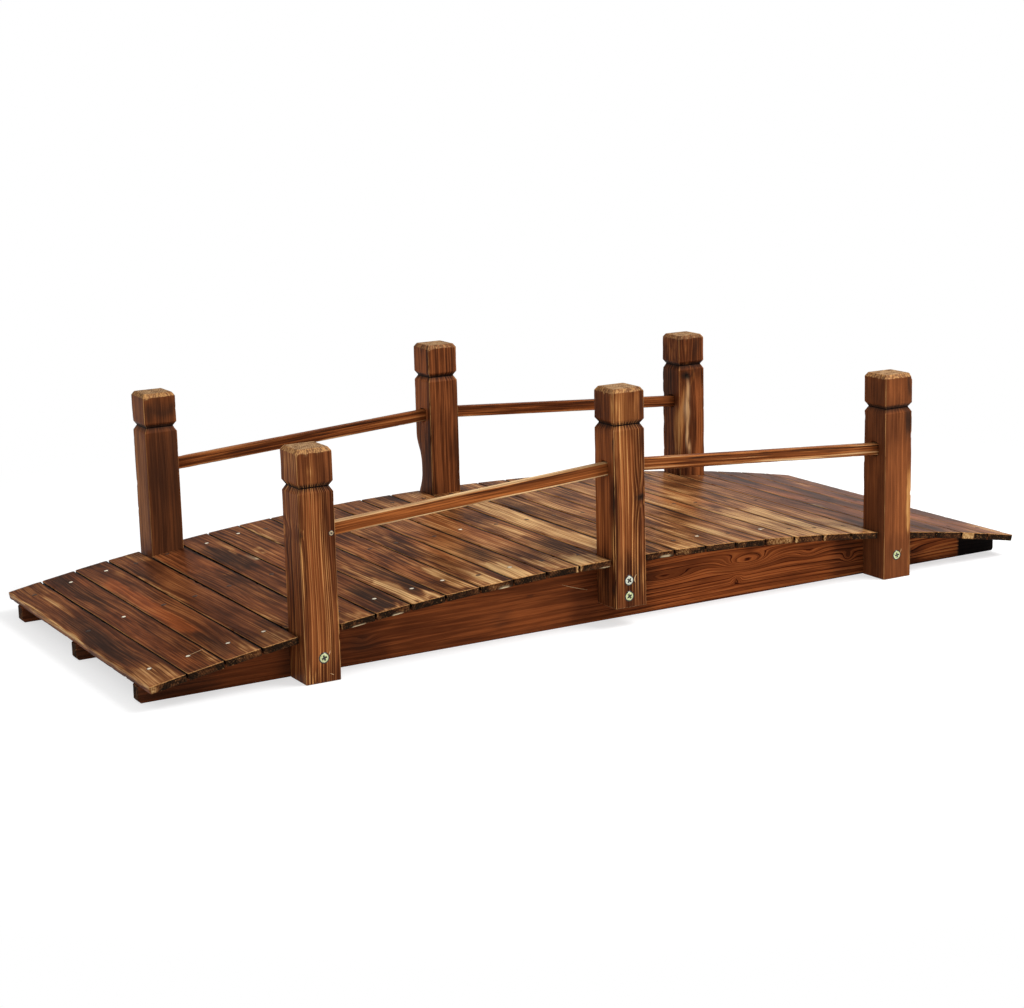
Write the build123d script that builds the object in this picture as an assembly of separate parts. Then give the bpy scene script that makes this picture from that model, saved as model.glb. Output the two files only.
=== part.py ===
from build123d import *
import math
import os

os.makedirs("parts", exist_ok=True)

# Moon bridge: a small arched garden footbridge of stained softwood.
# Three arched stringers lie flat on the ground and carry a deck of cross boards.
# Six square posts stand against the outer stringers and hold four sloping handrails.
# Origin: centre of the footprint, on the ground. X along the bridge, Y across it, Z up.
# Left is -X, front is -Y. All sizes are in millimetres.

# Deck
DECK_LENGTH = 1524.0
DECK_WIDTH = 622.0
DECK_RISE = 71.0
DECK_END_HEIGHT = 35.0
BOARD_WIDTH = 55.0
BOARD_THICKNESS = 10.5
BOARD_ARRIS = 1.8
END_RUN_BOARDS = 4
INNER_RUN_BOARDS = 8
BOARD_RUNS = 4

# Post bays: the clear space between two full boards where a pair of posts stands
END_POST_BAY = 64.0
MIDDLE_POST_BAY = 59.0
POST_BOARD_GAP = 2.2
POST_BOARD_END_GAP = 0.5

# Stringers
STRINGER_THICKNESS = 20.0
STRINGER_OUTER_Y = 263.0
STRINGER_SETBACK = 0.5
STRINGER_TOE_BEVEL = 4.0

# Posts
POST_SIDE = 54.0
POST_LENGTH = 332.0
MIDDLE_POST_RAISE = 30.0
POST_ARRIS = 1.5
CAP_HEIGHT = 47.5
CAP_CHAMFER_WIDTH = 4.0
CAP_CHAMFER_HEIGHT = 6.0
GROOVE_UPPER_HEIGHT = 7.0
GROOVE_LOWER_HEIGHT = 8.0
GROOVE_DEPTH = 4.6

# Handrails
RAIL_HEIGHT = 18.5
RAIL_THICKNESS = 14.0
RAIL_ARRIS = 1.2
RAIL_BELOW_POST_TOP = 121.0
MORTISE_DEPTH = 16.0

# The deck follows one circular arc, so every height below comes from its centre and radius
half_length = DECK_LENGTH / 2
arc_radius = (half_length**2 + DECK_RISE**2) / (2 * DECK_RISE)
arc_centre_z = DECK_END_HEIGHT + DECK_RISE - arc_radius
arc_length = 2 * arc_radius * math.asin(half_length / arc_radius)
seat_radius = arc_radius - BOARD_THICKNESS

full_boards = 2 * END_RUN_BOARDS + 2 * INNER_RUN_BOARDS
seams = full_boards - BOARD_RUNS
board_gap = (arc_length - full_boards * BOARD_WIDTH - 2 * END_POST_BAY - MIDDLE_POST_BAY) / seams


def board_rows():
    """Return (middle along the arc, width, is it a post board) for every board, left to right."""
    rows = []
    edge = -arc_length / 2
    runs = (
        (END_RUN_BOARDS, END_POST_BAY),
        (INNER_RUN_BOARDS, MIDDLE_POST_BAY),
        (INNER_RUN_BOARDS, END_POST_BAY),
        (END_RUN_BOARDS, 0.0),
    )
    for count, bay in runs:
        for _ in range(count):
            rows.append((edge + BOARD_WIDTH / 2, BOARD_WIDTH, False))
            edge += BOARD_WIDTH + board_gap
        edge -= board_gap
        if bay:
            rows.append((edge + bay / 2, bay - 2 * POST_BOARD_GAP, True))
            edge += bay
    return rows


def deck_board(middle, width, length):
    """A flat board with eased upper edges, laid tangent to the arc on its middle line."""
    blank = Box(width, length, BOARD_THICKNESS, align=(Align.CENTER, Align.CENTER, Align.MIN))
    upper_edges = blank.faces().sort_by(Axis.Z)[-1].edges()
    board = fillet(upper_edges, BOARD_ARRIS)
    angle = middle / arc_radius
    seat = Pos(0, 0, arc_centre_z) * Rot(0, math.degrees(angle), 0) * Pos(0, 0, seat_radius)
    return seat * board


def stringer(y_middle):
    """A plank on edge: flat sole, beveled toes and a top sawn to the arc that the boards sit on."""
    end_x = half_length - STRINGER_SETBACK
    end_z = arc_centre_z + math.sqrt(seat_radius**2 - end_x**2)
    crown_z = arc_centre_z + seat_radius
    toe_x = end_x - STRINGER_TOE_BEVEL
    with BuildSketch(Plane.XZ) as side:
        with BuildLine():
            Polyline(
                (-end_x, end_z),
                (-end_x, STRINGER_TOE_BEVEL),
                (-toe_x, 0),
                (toe_x, 0),
                (end_x, STRINGER_TOE_BEVEL),
                (end_x, end_z),
            )
            ThreePointArc((end_x, end_z), (0, crown_z), (-end_x, end_z))
        make_face()
    solid = extrude(side.sketch, STRINGER_THICKNESS / 2, both=True)
    return Pos(0, y_middle, 0) * solid


def post_outline():
    """Half width and height up the post, from the foot to the chamfered top."""
    half = POST_SIDE / 2
    cap_foot = POST_LENGTH - CAP_HEIGHT
    groove_root = cap_foot - GROOVE_UPPER_HEIGHT
    groove_lip = groove_root - GROOVE_LOWER_HEIGHT
    return [
        (half, 0),
        (half, groove_lip),
        (half - GROOVE_DEPTH, groove_root),
        (half, cap_foot),
        (half, POST_LENGTH - CAP_CHAMFER_HEIGHT),
        (half - CAP_CHAMFER_WIDTH, POST_LENGTH),
    ]


def post_blank():
    """A square post whose groove and cap run round all four faces and meet in mitres."""
    right = post_outline()
    left = [(-x, z) for x, z in reversed(right)]
    front_view = extrude(Plane.XZ * make_face(Polyline(*right, *left, close=True)), POST_SIDE, both=True)
    side_view = extrude(Plane.YZ * make_face(Polyline(*right, *left, close=True)), POST_SIDE, both=True)
    square = Rectangle(POST_SIDE, POST_SIDE)
    plan = extrude(chamfer(square.vertices(), POST_ARRIS), POST_LENGTH)
    return front_view & side_view & plan


rows = board_rows()
post_rows = [row for row in rows if row[2]]
post_x = arc_radius * math.sin(post_rows[-1][0] / arc_radius)
post_y = STRINGER_OUTER_Y + POST_SIDE / 2
end_mortise_z = POST_LENGTH - RAIL_BELOW_POST_TOP
middle_mortise_z = end_mortise_z + MIDDLE_POST_RAISE


def handrail(side, hand):
    """A straight bar from an end post up to the middle post, both ends let into the posts."""
    outer_x = post_x - POST_SIDE / 2
    inner_x = POST_SIDE / 2
    run = outer_x - inner_x
    slope = math.atan2(middle_mortise_z - end_mortise_z, run)
    length = run / math.cos(slope) + 2 * MORTISE_DEPTH
    blank = Box(length, RAIL_THICKNESS, RAIL_HEIGHT)
    bar = chamfer(blank.edges().filter_by(Axis.X), RAIL_ARRIS)
    middle_x = hand * (outer_x + inner_x) / 2
    middle_z = (end_mortise_z + middle_mortise_z) / 2
    return Pos(middle_x, side * post_y, middle_z) * Rot(0, math.degrees(hand * slope), 0) * bar


SIDES = {"front": -1, "back": 1}
HANDS = {"left": -1, "right": 1}

parts = {}
for number, (middle, width, is_post_board) in enumerate(rows, start=1):
    length = 2 * (STRINGER_OUTER_Y - POST_BOARD_END_GAP) if is_post_board else DECK_WIDTH
    parts[f"deck_board_{number:02d}"] = deck_board(middle, width, length)

outer_stringer_y = STRINGER_OUTER_Y - STRINGER_THICKNESS / 2
parts["stringer_front"] = stringer(-outer_stringer_y)
parts["stringer_middle"] = stringer(0)
parts["stringer_back"] = stringer(outer_stringer_y)

rails = {}
for side_name, side in SIDES.items():
    for hand_name, hand in HANDS.items():
        rails[side_name, hand_name] = handrail(side, hand)
        parts[f"handrail_{side_name}_{hand_name}"] = rails[side_name, hand_name]

for side_name, side in SIDES.items():
    left_rail = rails[side_name, "left"]
    right_rail = rails[side_name, "right"]
    left_post = Pos(-post_x, side * post_y, 0) * post_blank()
    middle_post = Pos(0, side * post_y, MIDDLE_POST_RAISE) * post_blank()
    right_post = Pos(post_x, side * post_y, 0) * post_blank()
    parts[f"post_{side_name}_left"] = left_post - left_rail
    parts[f"post_{side_name}_middle"] = middle_post - left_rail - right_rail
    parts[f"post_{side_name}_right"] = right_post - right_rail

for node, solid in parts.items():
    solid.label = node
    export_step(solid, f"parts/{node}.step")

everything = Compound(children=list(parts.values())).bounding_box()
volume = sum(solid.volume for solid in parts.values())
print(f"{len(parts)} pieces, gap between boards {board_gap:.2f} mm, posts at x {post_x:.2f} mm")
print(f"box {everything.min} to {everything.max}, wood {volume / 1e9:.5f} m3")
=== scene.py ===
# %% [markdown]
# A moon bridge in charred and stained softwood.
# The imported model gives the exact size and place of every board, stringer, post and rail. This lesson
# takes those sizes, makes each timber again with eased and chewed edges, adds the screws and nails, and
# finishes the wood with a solid grain that runs through each piece as it does through a real one.

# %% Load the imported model
import math
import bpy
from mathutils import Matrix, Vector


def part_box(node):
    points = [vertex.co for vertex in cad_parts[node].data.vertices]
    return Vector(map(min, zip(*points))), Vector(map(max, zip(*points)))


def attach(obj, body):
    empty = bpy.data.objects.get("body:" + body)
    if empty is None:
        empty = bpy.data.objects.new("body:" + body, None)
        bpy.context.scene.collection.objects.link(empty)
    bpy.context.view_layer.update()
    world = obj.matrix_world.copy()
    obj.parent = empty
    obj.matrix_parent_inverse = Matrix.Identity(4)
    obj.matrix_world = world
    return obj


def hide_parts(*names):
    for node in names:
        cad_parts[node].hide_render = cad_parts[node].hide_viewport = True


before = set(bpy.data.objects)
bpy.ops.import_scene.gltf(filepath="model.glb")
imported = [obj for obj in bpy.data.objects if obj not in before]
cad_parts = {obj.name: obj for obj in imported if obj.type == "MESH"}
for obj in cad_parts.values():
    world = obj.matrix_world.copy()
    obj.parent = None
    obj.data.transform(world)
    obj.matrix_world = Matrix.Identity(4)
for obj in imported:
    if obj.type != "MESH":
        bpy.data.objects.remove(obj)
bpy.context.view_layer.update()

from types import SimpleNamespace

import bpy
import numpy as np
from mathutils import Matrix, Vector

MM = 0.001
print("pieces in the frame:", len(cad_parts))

# %% [markdown]
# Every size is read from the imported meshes, so the looks can't drift away from the model. The timber was
# cut in millimetres, so all lengths here are in millimetres until a mesh is made.
# A stringer's top is one arc: its crown and its two end corners give the radius. A board's own slope is
# the angle of its middle on that arc, and turning its corners back by that angle gives width and length.

# %% Read the arc and the boards from the frame
def corners(node):
    """The different corner points of a node."""
    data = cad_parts[node].data
    flat = np.zeros(len(data.vertices) * 3, np.float32)
    data.vertices.foreach_get("co", flat)
    return np.unique(flat.reshape(-1, 3).round(6), axis=0).astype(float) / MM


def limits(node):
    """The lowest and the highest corner of a node's box."""
    low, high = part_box(node)
    return np.array(low) / MM, np.array(high) / MM


sole = corners("stringer_front")
crown_z = sole[:, 2].max()
end_x = sole[:, 0].max()
end_top = sole[sole[:, 0] > end_x - 0.1][:, 2].max()
sagitta = crown_z - end_top
seat_radius = (end_x**2 + sagitta**2) / (2 * sagitta)
arc_centre_z = crown_z - seat_radius


def board_seat(node):
    """Angle on the arc, then width, length and thickness of a deck board."""
    x, y, z = corners(node).T
    z = z - arc_centre_z
    angle = math.atan2(x.mean(), z.mean())
    across = x * math.cos(angle) - z * math.sin(angle)
    height = x * math.sin(angle) + z * math.cos(angle)
    return angle, np.array([np.ptp(across), np.ptp(y), np.ptp(height)])


def on_arc(angle, across, along, height):
    """A place across and along from a board's middle, at a height above the arc that the board sits on."""
    radius = seat_radius + height
    x = across * math.cos(angle) + radius * math.sin(angle)
    z = arc_centre_z - across * math.sin(angle) + radius * math.cos(angle)
    return np.stack([x, along, z], axis=-1)


board_nodes = sorted(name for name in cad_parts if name.startswith("deck_board"))
print("arc radius", round(seat_radius, 1), "first board", board_seat(board_nodes[0]))

# %% [markdown]
# Real timber is never quite flat or sharp. ripples is a smooth random waviness: many sine waves of nearly
# the wanted length, with seeded directions, so it is the same at every run. Where it rises above a level,
# it makes the small bites of a tool. Pieces of a kind add their number to a seed, so no two are alike.

# %% Waviness
def ripples(points, size, seed, count=16):
    """Smooth noise of about unit strength: the sum of sine waves about as long as size in x, y and z."""
    rng = np.random.default_rng(seed)
    turns = rng.normal(size=(count, 3)) * 2 * np.pi / (np.asarray(size) * 1.6)
    shift = rng.uniform(0, 2 * np.pi, count)
    return np.sin(points @ turns.T + shift).sum(axis=1) * math.sqrt(2 / count)


def bites(points, seed, size, above, depth):
    """Small hollows: depth times how far the ripples rise above a level, and nothing below it."""
    return np.maximum(ripples(points, size, seed) - above, 0) * depth


def smoothstep(low, high, value):
    """0 at low and 1 at high, t * t * (3 - 2t) between. With low above high it falls instead."""
    t = np.clip((value - low) / (high - low), 0, 1)
    return t * t * (3 - 2 * t)


print("ripples at the origin:", ripples(np.zeros((1, 3)), (10, 10, 10), seed=1))

# %% [markdown]
# Sawn timber starts as a block. Its skin could be a cube that a Bevel modifier rounds, but grain and torch
# marks need many points to sit on. So the skin is made from three sets of lines, close together at the
# edges, with each lattice point used once, so that every seam and corner is closed.

# %% The skin of a block
def lines(half, edge, step):
    """Lines from -half to half: the given distances in from both edges, and even steps between."""
    inner = half - edge[-1]
    between = np.linspace(-inner, inner, max(2, int(round(2 * inner / step)) + 1))
    return np.concatenate([-half + edge[:-1], between, half - edge[:-1][::-1]])


def block(xs, ys, zs):
    """Points and quads of a box's skin: the lattice points of xs, ys and zs that lie on its outside."""
    shape = (len(xs), len(ys), len(zs))
    i, j, k = np.meshgrid(*(np.arange(n) for n in shape), indexing="ij")
    skin = (i % (shape[0] - 1) == 0) | (j % (shape[1] - 1) == 0) | (k % (shape[2] - 1) == 0)
    number = np.full(shape, -1)
    number[skin] = np.arange(skin.sum())
    points = np.stack([xs[i], ys[j], zs[k]], axis=-1)[skin]

    def quads(sheet, turned):
        """Four neighbours at a time of a sheet of point numbers, the other way round if it is turned."""
        ring = [sheet[:-1, :-1], sheet[1:, :-1], sheet[1:, 1:], sheet[:-1, 1:]]
        made = np.stack(ring, axis=-1).reshape(-1, 4)
        return made[:, ::-1] if turned else made

    faces = np.concatenate([
        quads(number[:, :, -1], False), quads(number[:, :, 0], True),
        quads(number[-1], False), quads(number[0], True),
        quads(number[:, -1], True), quads(number[:, 0], False),
    ])
    return points, faces


print("a cube of 2 by 2 by 2 cells has", len(block(*[np.arange(3)] * 3)[1]), "quads")

# %% [markdown]
# Easing an edge means rounding it over. On the skin of a box, the part of a point that reaches past an
# inner box makes a little square beside each edge, and that square is squeezed into a quarter disc.
# Doing it first in plan and then in section gives a tight arris and fuller corners, as a sander does.

# %% Eased edges
def squeeze(a, b):
    """Squeeze the square of a and b into a disc: both shrink by their larger one over their length."""
    length = np.hypot(a, b)
    share = np.where(length > 0, np.maximum(a, b) / np.where(length > 0, length, 1), 1)
    return a * share, b * share


def eased(points, half, corner, top, bottom):
    """Round a block's upright corners to `corner` and its upper and lower arrises to top and bottom."""
    x, y, z = points.T
    past_x = np.maximum(np.abs(x) - (half[0] - corner), 0)
    past_y = np.maximum(np.abs(y) - (half[1] - corner), 0)
    reach = np.maximum(past_x, past_y)
    new_x, new_y = squeeze(past_x, past_y)
    ease = np.where(z > 0, top, bottom)
    past_side = np.maximum(reach - (corner - ease), 0)
    past_z = np.maximum(np.abs(z) - (half[2] - ease), 0)
    side, up = squeeze(past_side, past_z)
    out = np.where(past_side > 0, (corner - ease) + side, reach)
    scale = np.where(reach > 0, out / np.where(reach > 0, reach, 1), 1)
    x = np.sign(x) * (np.minimum(np.abs(x), half[0] - corner) + new_x * scale)
    y = np.sign(y) * (np.minimum(np.abs(y), half[1] - corner) + new_y * scale)
    z = np.sign(z) * (np.minimum(np.abs(z), half[2] - ease) + up)
    return np.stack([x, y, z], axis=-1)


def arris_nearness(points, half, width):
    """1 on an arris, fading over width: the second smallest distance to the faces of the block."""
    gaps = np.sort(half - np.abs(points), axis=1)
    return np.exp(-gaps[:, 1] / width)


def outward(points, half, inset):
    """Unit vectors that point out of a block, from an inner block that is inset all round."""
    way = points - np.clip(points, inset - half, half - inset)
    return way / np.linalg.norm(way, axis=1, keepdims=True)


print("a square's corner moves to", squeeze(1.0, 1.0))

# %% [markdown]
# A timber carries four vectors at each point for its finish. timber is the point's place in the tree: across
# from the pith, along the trunk, and deep. marks holds how golden, smoked or red the stain is, and the smoke
# also carries painted shade.
# traits holds worn arris, end grain and pale chips. figure holds how strong dark rings, bright rings and
# broken colour are. The wood material reads only these, so the grain stays in the piece when it moves.

# %% Turn arrays into a piece
ROOT = "root"


def put_piece(name, points, faces, **attributes):
    """A smooth mesh of points in mm that rides on the frame, with numbers or vectors for its points."""
    mesh = bpy.data.meshes.new(name)
    mesh.from_pydata(points * MM, [], faces)
    for key, value in attributes.items():
        kind, field = ("FLOAT", "value") if value.ndim == 1 else ("FLOAT_VECTOR", "vector")
        layer = mesh.attributes.new(key, kind, "POINT")
        layer.data.foreach_set(field, value.astype(np.float32).ravel())
    mesh.polygons.foreach_set("use_smooth", np.ones(len(mesh.polygons), bool))
    mesh.validate()
    mesh.update()
    piece = bpy.data.objects.new(name, mesh)
    bpy.context.scene.collection.objects.link(piece)
    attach(piece, ROOT)
    return piece


def put_timber(name, node, slot, points, faces, timber, marks, traits, figure):
    """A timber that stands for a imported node, with its finish at each point."""
    looks = dict(timber=timber * MM, marks=np.stack(marks, axis=-1), traits=np.stack(traits, axis=-1))
    piece = put_piece(name, points, faces, figure=figure, **looks)
    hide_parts(node)
    return piece


print("pieces ride on the body", ROOT)

# %% [markdown]
# The torch and the brush leave soft-edged patches. A mark is (from, to) along the grain, (from, to) across
# it, and a strength; where marks of a kind overlap, the strongest one counts.

# %% Painting soft patches
SOFT_ALONG = 26
SOFT_ACROSS = 5


def band(value, low, high, soft):
    """1 between low and high, with both edges softened."""
    return smoothstep(low - soft, low + soft, value) * (1 - smoothstep(high - soft, high + soft, value))


def patch(along, across, start, stop, side, other_side, strength, fade=None):
    """Strength inside a rectangle, fading outside it. fade is its softness along the grain."""
    soft = fade or min(SOFT_ALONG, 0.7 * (stop - start))
    narrow = min(SOFT_ACROSS, 0.6 * (other_side - side))
    return band(along, start, stop, soft) * band(across, side, other_side, narrow) * strength


def painted(along, across, marks):
    """Four rows, how golden, smoked, red and pale each point is, from a dict of marks."""
    amounts = np.zeros((4, len(along)))
    for row, kind in enumerate(("gold", "smoke_and_shade", "red", "pale")):
        for mark in marks.get(kind, ()):
            amounts[row] = np.maximum(amounts[row], patch(along, across, *mark))
    return amounts


print("a patch is this strong at its edge:", patch(0, 0, 0, 100, -9, 9, 1.0))

# %% [markdown]
# The boards are torched and brushed by hand, so no two are alike. The table says, board by board, where the
# torch left golden wood, smoked it grey, or let the red stain show, in mm along the board from its middle
# (the front is negative) and across it. Judging them keeps the deck's rhythm.

# %% The torch's marks on each board
DECK_MARKS = {
    1: {"gold": [(-320, -215, -30, 22, 0.62), (97, 234, 0, 11, 0.66), (235, 320, -14, 28, 0.5),
       (-320, 320, -30, -24.5, 0.85)], "smoke_and_shade": [(-200, 95, -22, 12, 0.62), (120, 215, 12, 18, 0.6)]},
    2: {"gold": [(-320, -250, 12, 28, 0.6), (-130, 30, -30, -25, 0.6)],
       "smoke_and_shade": [(55, 310, -16, 10, 0.62)], "red": [(-300, 40, -26, 4, 0.5), (215, 300, 13, 26, 0.5)]},
    3: {"gold": [(-320, -268, 2, 28, 0.62), (205, 262, 8, 28, 0.42)],
       "smoke_and_shade": [(-298, -170, -24, -2, 0.62), (-100, 200, 6, 24, 0.32), (272, 320, -22, 22, 0.7)],
       "red": [(-165, 205, -25, 1, 0.8)]},
    4: {"gold": [(-320, -250, -28, 28, 0.5), (-45, 175, -30, -23, 0.8), (232, 320, -2, 28, 0.55)],
       "smoke_and_shade": [(-262, -185, 2, 28, 0.55), (62, 98, -9, -3, 0.8), (100, 320, -27, -10, 0.5)]},
    5: {"gold": [(-262, -145, -30, -20, 0.6), (42, 70, 5, 30, 0.5)], "smoke_and_shade": [(-160, 55, -4, 28, 0.55)],
       "red": [(80, 262, -28, 28, 0.4)]},
    6: {"gold": [(-320, -262, -28, 28, 0.6), (128, 167, 9, 13, 0.95), (185, 310, 20, 30, 0.5)],
       "smoke_and_shade": [(-240, -190, -20, 20, 0.5), (55, 238, -25, 16, 0.75)], "pale": [(94, 117, 21, 27, 1.0)]},
    7: {"gold": [(-320, -300, -28, 28, 0.8), (-320, -228, 23, 30, 1.0), (120, 147, -18, -3, 0.8)],
       "smoke_and_shade": [(-300, -160, -12, 21, 0.95), (195, 320, 0, 28, 0.45)],
       "red": [(-120, 120, -25, 20, 0.35)]},
    8: {"gold": [(-320, -282, -28, 28, 0.85), (-320, -160, -24, 0, 0.9), (-170, -50, -20, -8, 0.6),
       (150, 280, -30, -23, 0.7)], "smoke_and_shade": [(-278, -60, 2, 26, 0.72)]},
    9: {"gold": [(-320, -252, -20, 28, 0.6), (-320, -165, 4, 28, 0.75)],
       "smoke_and_shade": [(-275, -225, 0, 8, 0.6)], "red": [(-230, 200, -26, 8, 0.5)]},
    10: {"gold": [(-320, -240, -14, 14, 0.85), (-262, 50, -16, 8, 0.5), (-320, -300, -28, 28, 0.5)],
       "smoke_and_shade": [(82, 120, -20, 0, 0.6)], "red": [(-150, 90, 10, 26, 0.5)]},
    11: {"gold": [(-320, -205, -26, 4, 0.9), (-12, 20, 12, 19, 0.6), (-320, -272, 8, 26, 0.6)],
       "smoke_and_shade": [(-200, -105, -20, 20, 0.85)], "red": [(-60, 120, -24, 8, 0.35)]},
    12: {"gold": [(-320, -225, -26, 4, 0.8), (-320, -195, 8, 28, 0.65), (-207, -105, 13, 18, 0.6),
       (38, 84, 9, 14, 0.75)], "smoke_and_shade": [(-230, -150, -22, -6, 0.5), (226, 320, -26, 26, 0.65)],
       "red": [(-150, 200, -20, 26, 0.55)]},
    13: {"gold": [(-320, -243, -28, 28, 0.85), (-110, 60, -26, 10, 0.55), (250, 320, -20, 20, 0.4)],
       "smoke_and_shade": [(-232, -120, -21, 22, 1.0), (75, 140, -14, 14, 0.5)]},
    14: {"gold": [(-262, 190, -24, 26, 0.72), (160, 262, -20, 20, 0.4)],
       "smoke_and_shade": [(-104, -62, -28, -22, 0.9), (82, 152, -16, 6, 0.68)], "red": [(-95, 10, -16, -8, 0.8)]},
    15: {"gold": [(-320, -250, 8, 28, 0.6), (-10, 60, 25, 30, 0.8)],
       "smoke_and_shade": [(-300, 262, -27, 14, 1.05)], "red": [(-100, 65, -6, 3, 0.7)]},
    16: {"gold": [(-320, -275, -28, 28, 0.75), (-275, -190, -28, -10, 0.4)],
       "smoke_and_shade": [(72, 152, -24, 18, 0.62)], "red": [(-60, 70, 4, 28, 0.4)]},
    17: {"gold": [(-268, -130, -24, -15, 0.8), (-320, -296, -28, 28, 0.6)],
       "smoke_and_shade": [(-285, -90, -12, 20, 0.58), (70, 210, -22, 20, 0.5)],
       "red": [(-265, -130, -15, -6, 0.7)]},
    18: {"gold": [(-320, -70, -24, -5, 0.68), (-90, 5, -10, 8, 0.5), (150, 290, -26, 0, 0.5)],
       "smoke_and_shade": [(-60, 0, 10, 20, 0.45)], "red": [(-280, -150, 6, 26, 0.35)]},
    19: {"gold": [(-320, -145, -26, -5, 0.75), (-70, 55, -26, -12, 0.7)],
       "smoke_and_shade": [(-165, -62, -4, 27, 0.62), (-300, -235, -4, 16, 0.45)],
       "red": [(-60, 130, -4, 26, 0.75)]},
    20: {"gold": [(-320, -60, -28, 28, 0.82), (-60, 200, -30, -14, 0.7)],
       "red": [(-40, 190, -12, 26, 0.6)]},
    21: {"gold": [(-320, -70, -28, 12, 0.9), (45, 262, -20, -4, 0.62), (-320, -240, 12, 28, 0.7)],
       "smoke_and_shade": [(-38, 45, -4, 26, 0.5)], "red": [(60, 262, 2, 24, 0.4)]},
    # On board 22 the smoke 130 to 300 mm towards the back is the painted shadow of the back right post.
    22: {"gold": [(-320, -235, -28, 28, 0.72), (-235, 130, -28, 10, 0.28)],
       "smoke_and_shade": [(130, 300, -24, 24, 0.4)]},
    23: {"smoke_and_shade": [(-262, 262, -28, 28, 0.3)], "red": [(-60, 120, -10, 20, 0.3)]},
    24: {"gold": [(-320, -290, -28, 28, 0.5)], "red": [(-40, 200, -24, 24, 0.3)],
       "pale": [(-72, -54, -27, -22, 0.8)]},
    25: {"gold": [(-320, -285, 0, 28, 0.8), (-200, 60, 16, 28, 0.35)],
       "smoke_and_shade": [(-280, 300, -20, 10, 0.4)]},
    26: {"gold": [(160, 213, 10, 22, 0.6), (-320, -270, -28, 28, 0.5)], "red": [(-180, 60, -20, 20, 0.5)]},
    27: {"gold": [(-320, -200, 0, 28, 0.55), (120, 310, -10, 24, 0.4)],
       "smoke_and_shade": [(-200, 150, -20, 10, 0.35)]},
}
print("marks on the deck:", sum(len(spots) for marks in DECK_MARKS.values() for spots in marks.values()))

# %% [markdown]
# The cut ends at the front are mostly charred black, with brown wood where a saw or a knock opened them.
# Here a mark is across the board and then up from its middle.

# %% Marks on the front ends of the boards
END_MARKS = {
    1: {"gold": [(-28, -16, -6, 6, 0.9, 3)]},
    2: {"gold": [(-8, 12, -2, 3, 0.4, 4)]},
    3: {"gold": [(0, 28, -4, 5, 0.45, 4)]},
    6: {"gold": [(-28, -24, -6, 6, 0.8, 2)], "pale": [(-9, 10, -6, -4.2, 1.0, 2)]},
    7: {"gold": [(-28, -23, -6, 6, 0.8, 2), (0, 22, -3, 4, 0.45, 4)],
       "pale": [(-1, 12, -6, -3.8, 1.0, 2)]},
    9: {"gold": [(5, 25, -3, 4, 0.35, 4)]},
    10: {"gold": [(-15, 24, -3, 4, 0.5, 4)], "pale": [(5, 19, -6, -3.5, 1.0, 2)]},
    12: {"gold": [(21, 28, -6, 6, 1.2, 2)]},
    13: {"gold": [(-28, -24, -6, 6, 1.2, 2), (-10, 28, -3, 4, 0.4, 4)],
       "pale": [(8, 22, -6, -4.2, 0.9, 2)]},
    15: {"gold": [(-22, 26, -4, 4, 0.45, 4)], "pale": [(2, 20, -3.8, -2.4, 0.8, 3)]},
    16: {"gold": [(-27, 2, -5, 5, 0.5, 4)]},
    19: {"gold": [(-28, 28, -6, 6, 0.75, 3)]},
    20: {"gold": [(-28, -20, -6, 6, 1.0, 2), (-20, 28, -5, 2, 0.5, 4)]},
    21: {"gold": [(-28, -21, -6, 6, 0.9, 2), (-20, 20, -4, 3, 0.4, 4)]},
    25: {"gold": [(-10, 28, -3, 3, 0.35, 4)]},
    26: {"gold": [(-28, -2, -6, 6, 1.3, 1.5)]},
}
print("boards with an opened end:", len(END_MARKS))

# %% [markdown]
# A board is a block with a small round on its upper arrises, tighter at the sawn ends, and rounder corners
# in plan, which make the little notches between the board ends. Chips and waves then eat into the edges.

# %% The shape of a board
ARRIS_LINES = np.array([0, 0.3, 0.7, 1.2, 1.9, 3.0])
THIN_LINES = np.array([0, 0.3, 0.8, 1.5, 2.4])
BOARD_ARRIS = 1.3
BOARD_LOWER_ARRIS = 0.7
BOARD_CORNER = 3.0
BOARD_CHEW = dict(size=(30, 30, 20), above=0.9, depth=0.45)
BOARD_CHIP = dict(size=(20, 20, 20), above=1.5, depth=1.6)
SIDE_INSET = 0.4
SIDE_SWAY = 0.25
END_SHORT = 1.8


def board_shape(half, seed):
    """A board about its own middle: its points and quads, and the block that it was cut from."""
    raw, faces = block(lines(half[0], ARRIS_LINES, 4), lines(half[1], ARRIS_LINES, 5),
                       lines(half[2], THIN_LINES, 2.5))
    from_end = half[1] - np.abs(raw[:, 1])
    tight = smoothstep(14, 4, from_end)
    points = eased(raw, half, BOARD_CORNER, BOARD_ARRIS * (1 - 0.5 * tight), BOARD_LOWER_ARRIS)
    bitten = bites(raw, seed, **BOARD_CHEW) + bites(raw, seed + 1, **BOARD_CHIP)
    bitten = bitten * arris_nearness(raw, half, 1.6) * (1 - 0.75 * smoothstep(12, 3, from_end))
    points -= outward(raw, half, 2.5) * bitten[:, None]
    sway = ripples(raw * [0, 1, 0], (1000, 350, 1000), seed + 2) * SIDE_SWAY
    inward = (SIDE_INSET + sway) * smoothstep(0, half[0], np.abs(raw[:, 0]))
    points[:, 0] -= np.maximum(inward, 0) * np.sign(raw[:, 0])
    short = np.random.default_rng(seed + 3).uniform(0, END_SHORT, 2)[(raw[:, 1] > 0).astype(int)]
    points[:, 1] -= np.sign(raw[:, 1]) * short * smoothstep(60, 0, from_end)
    return points, faces, raw


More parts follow.
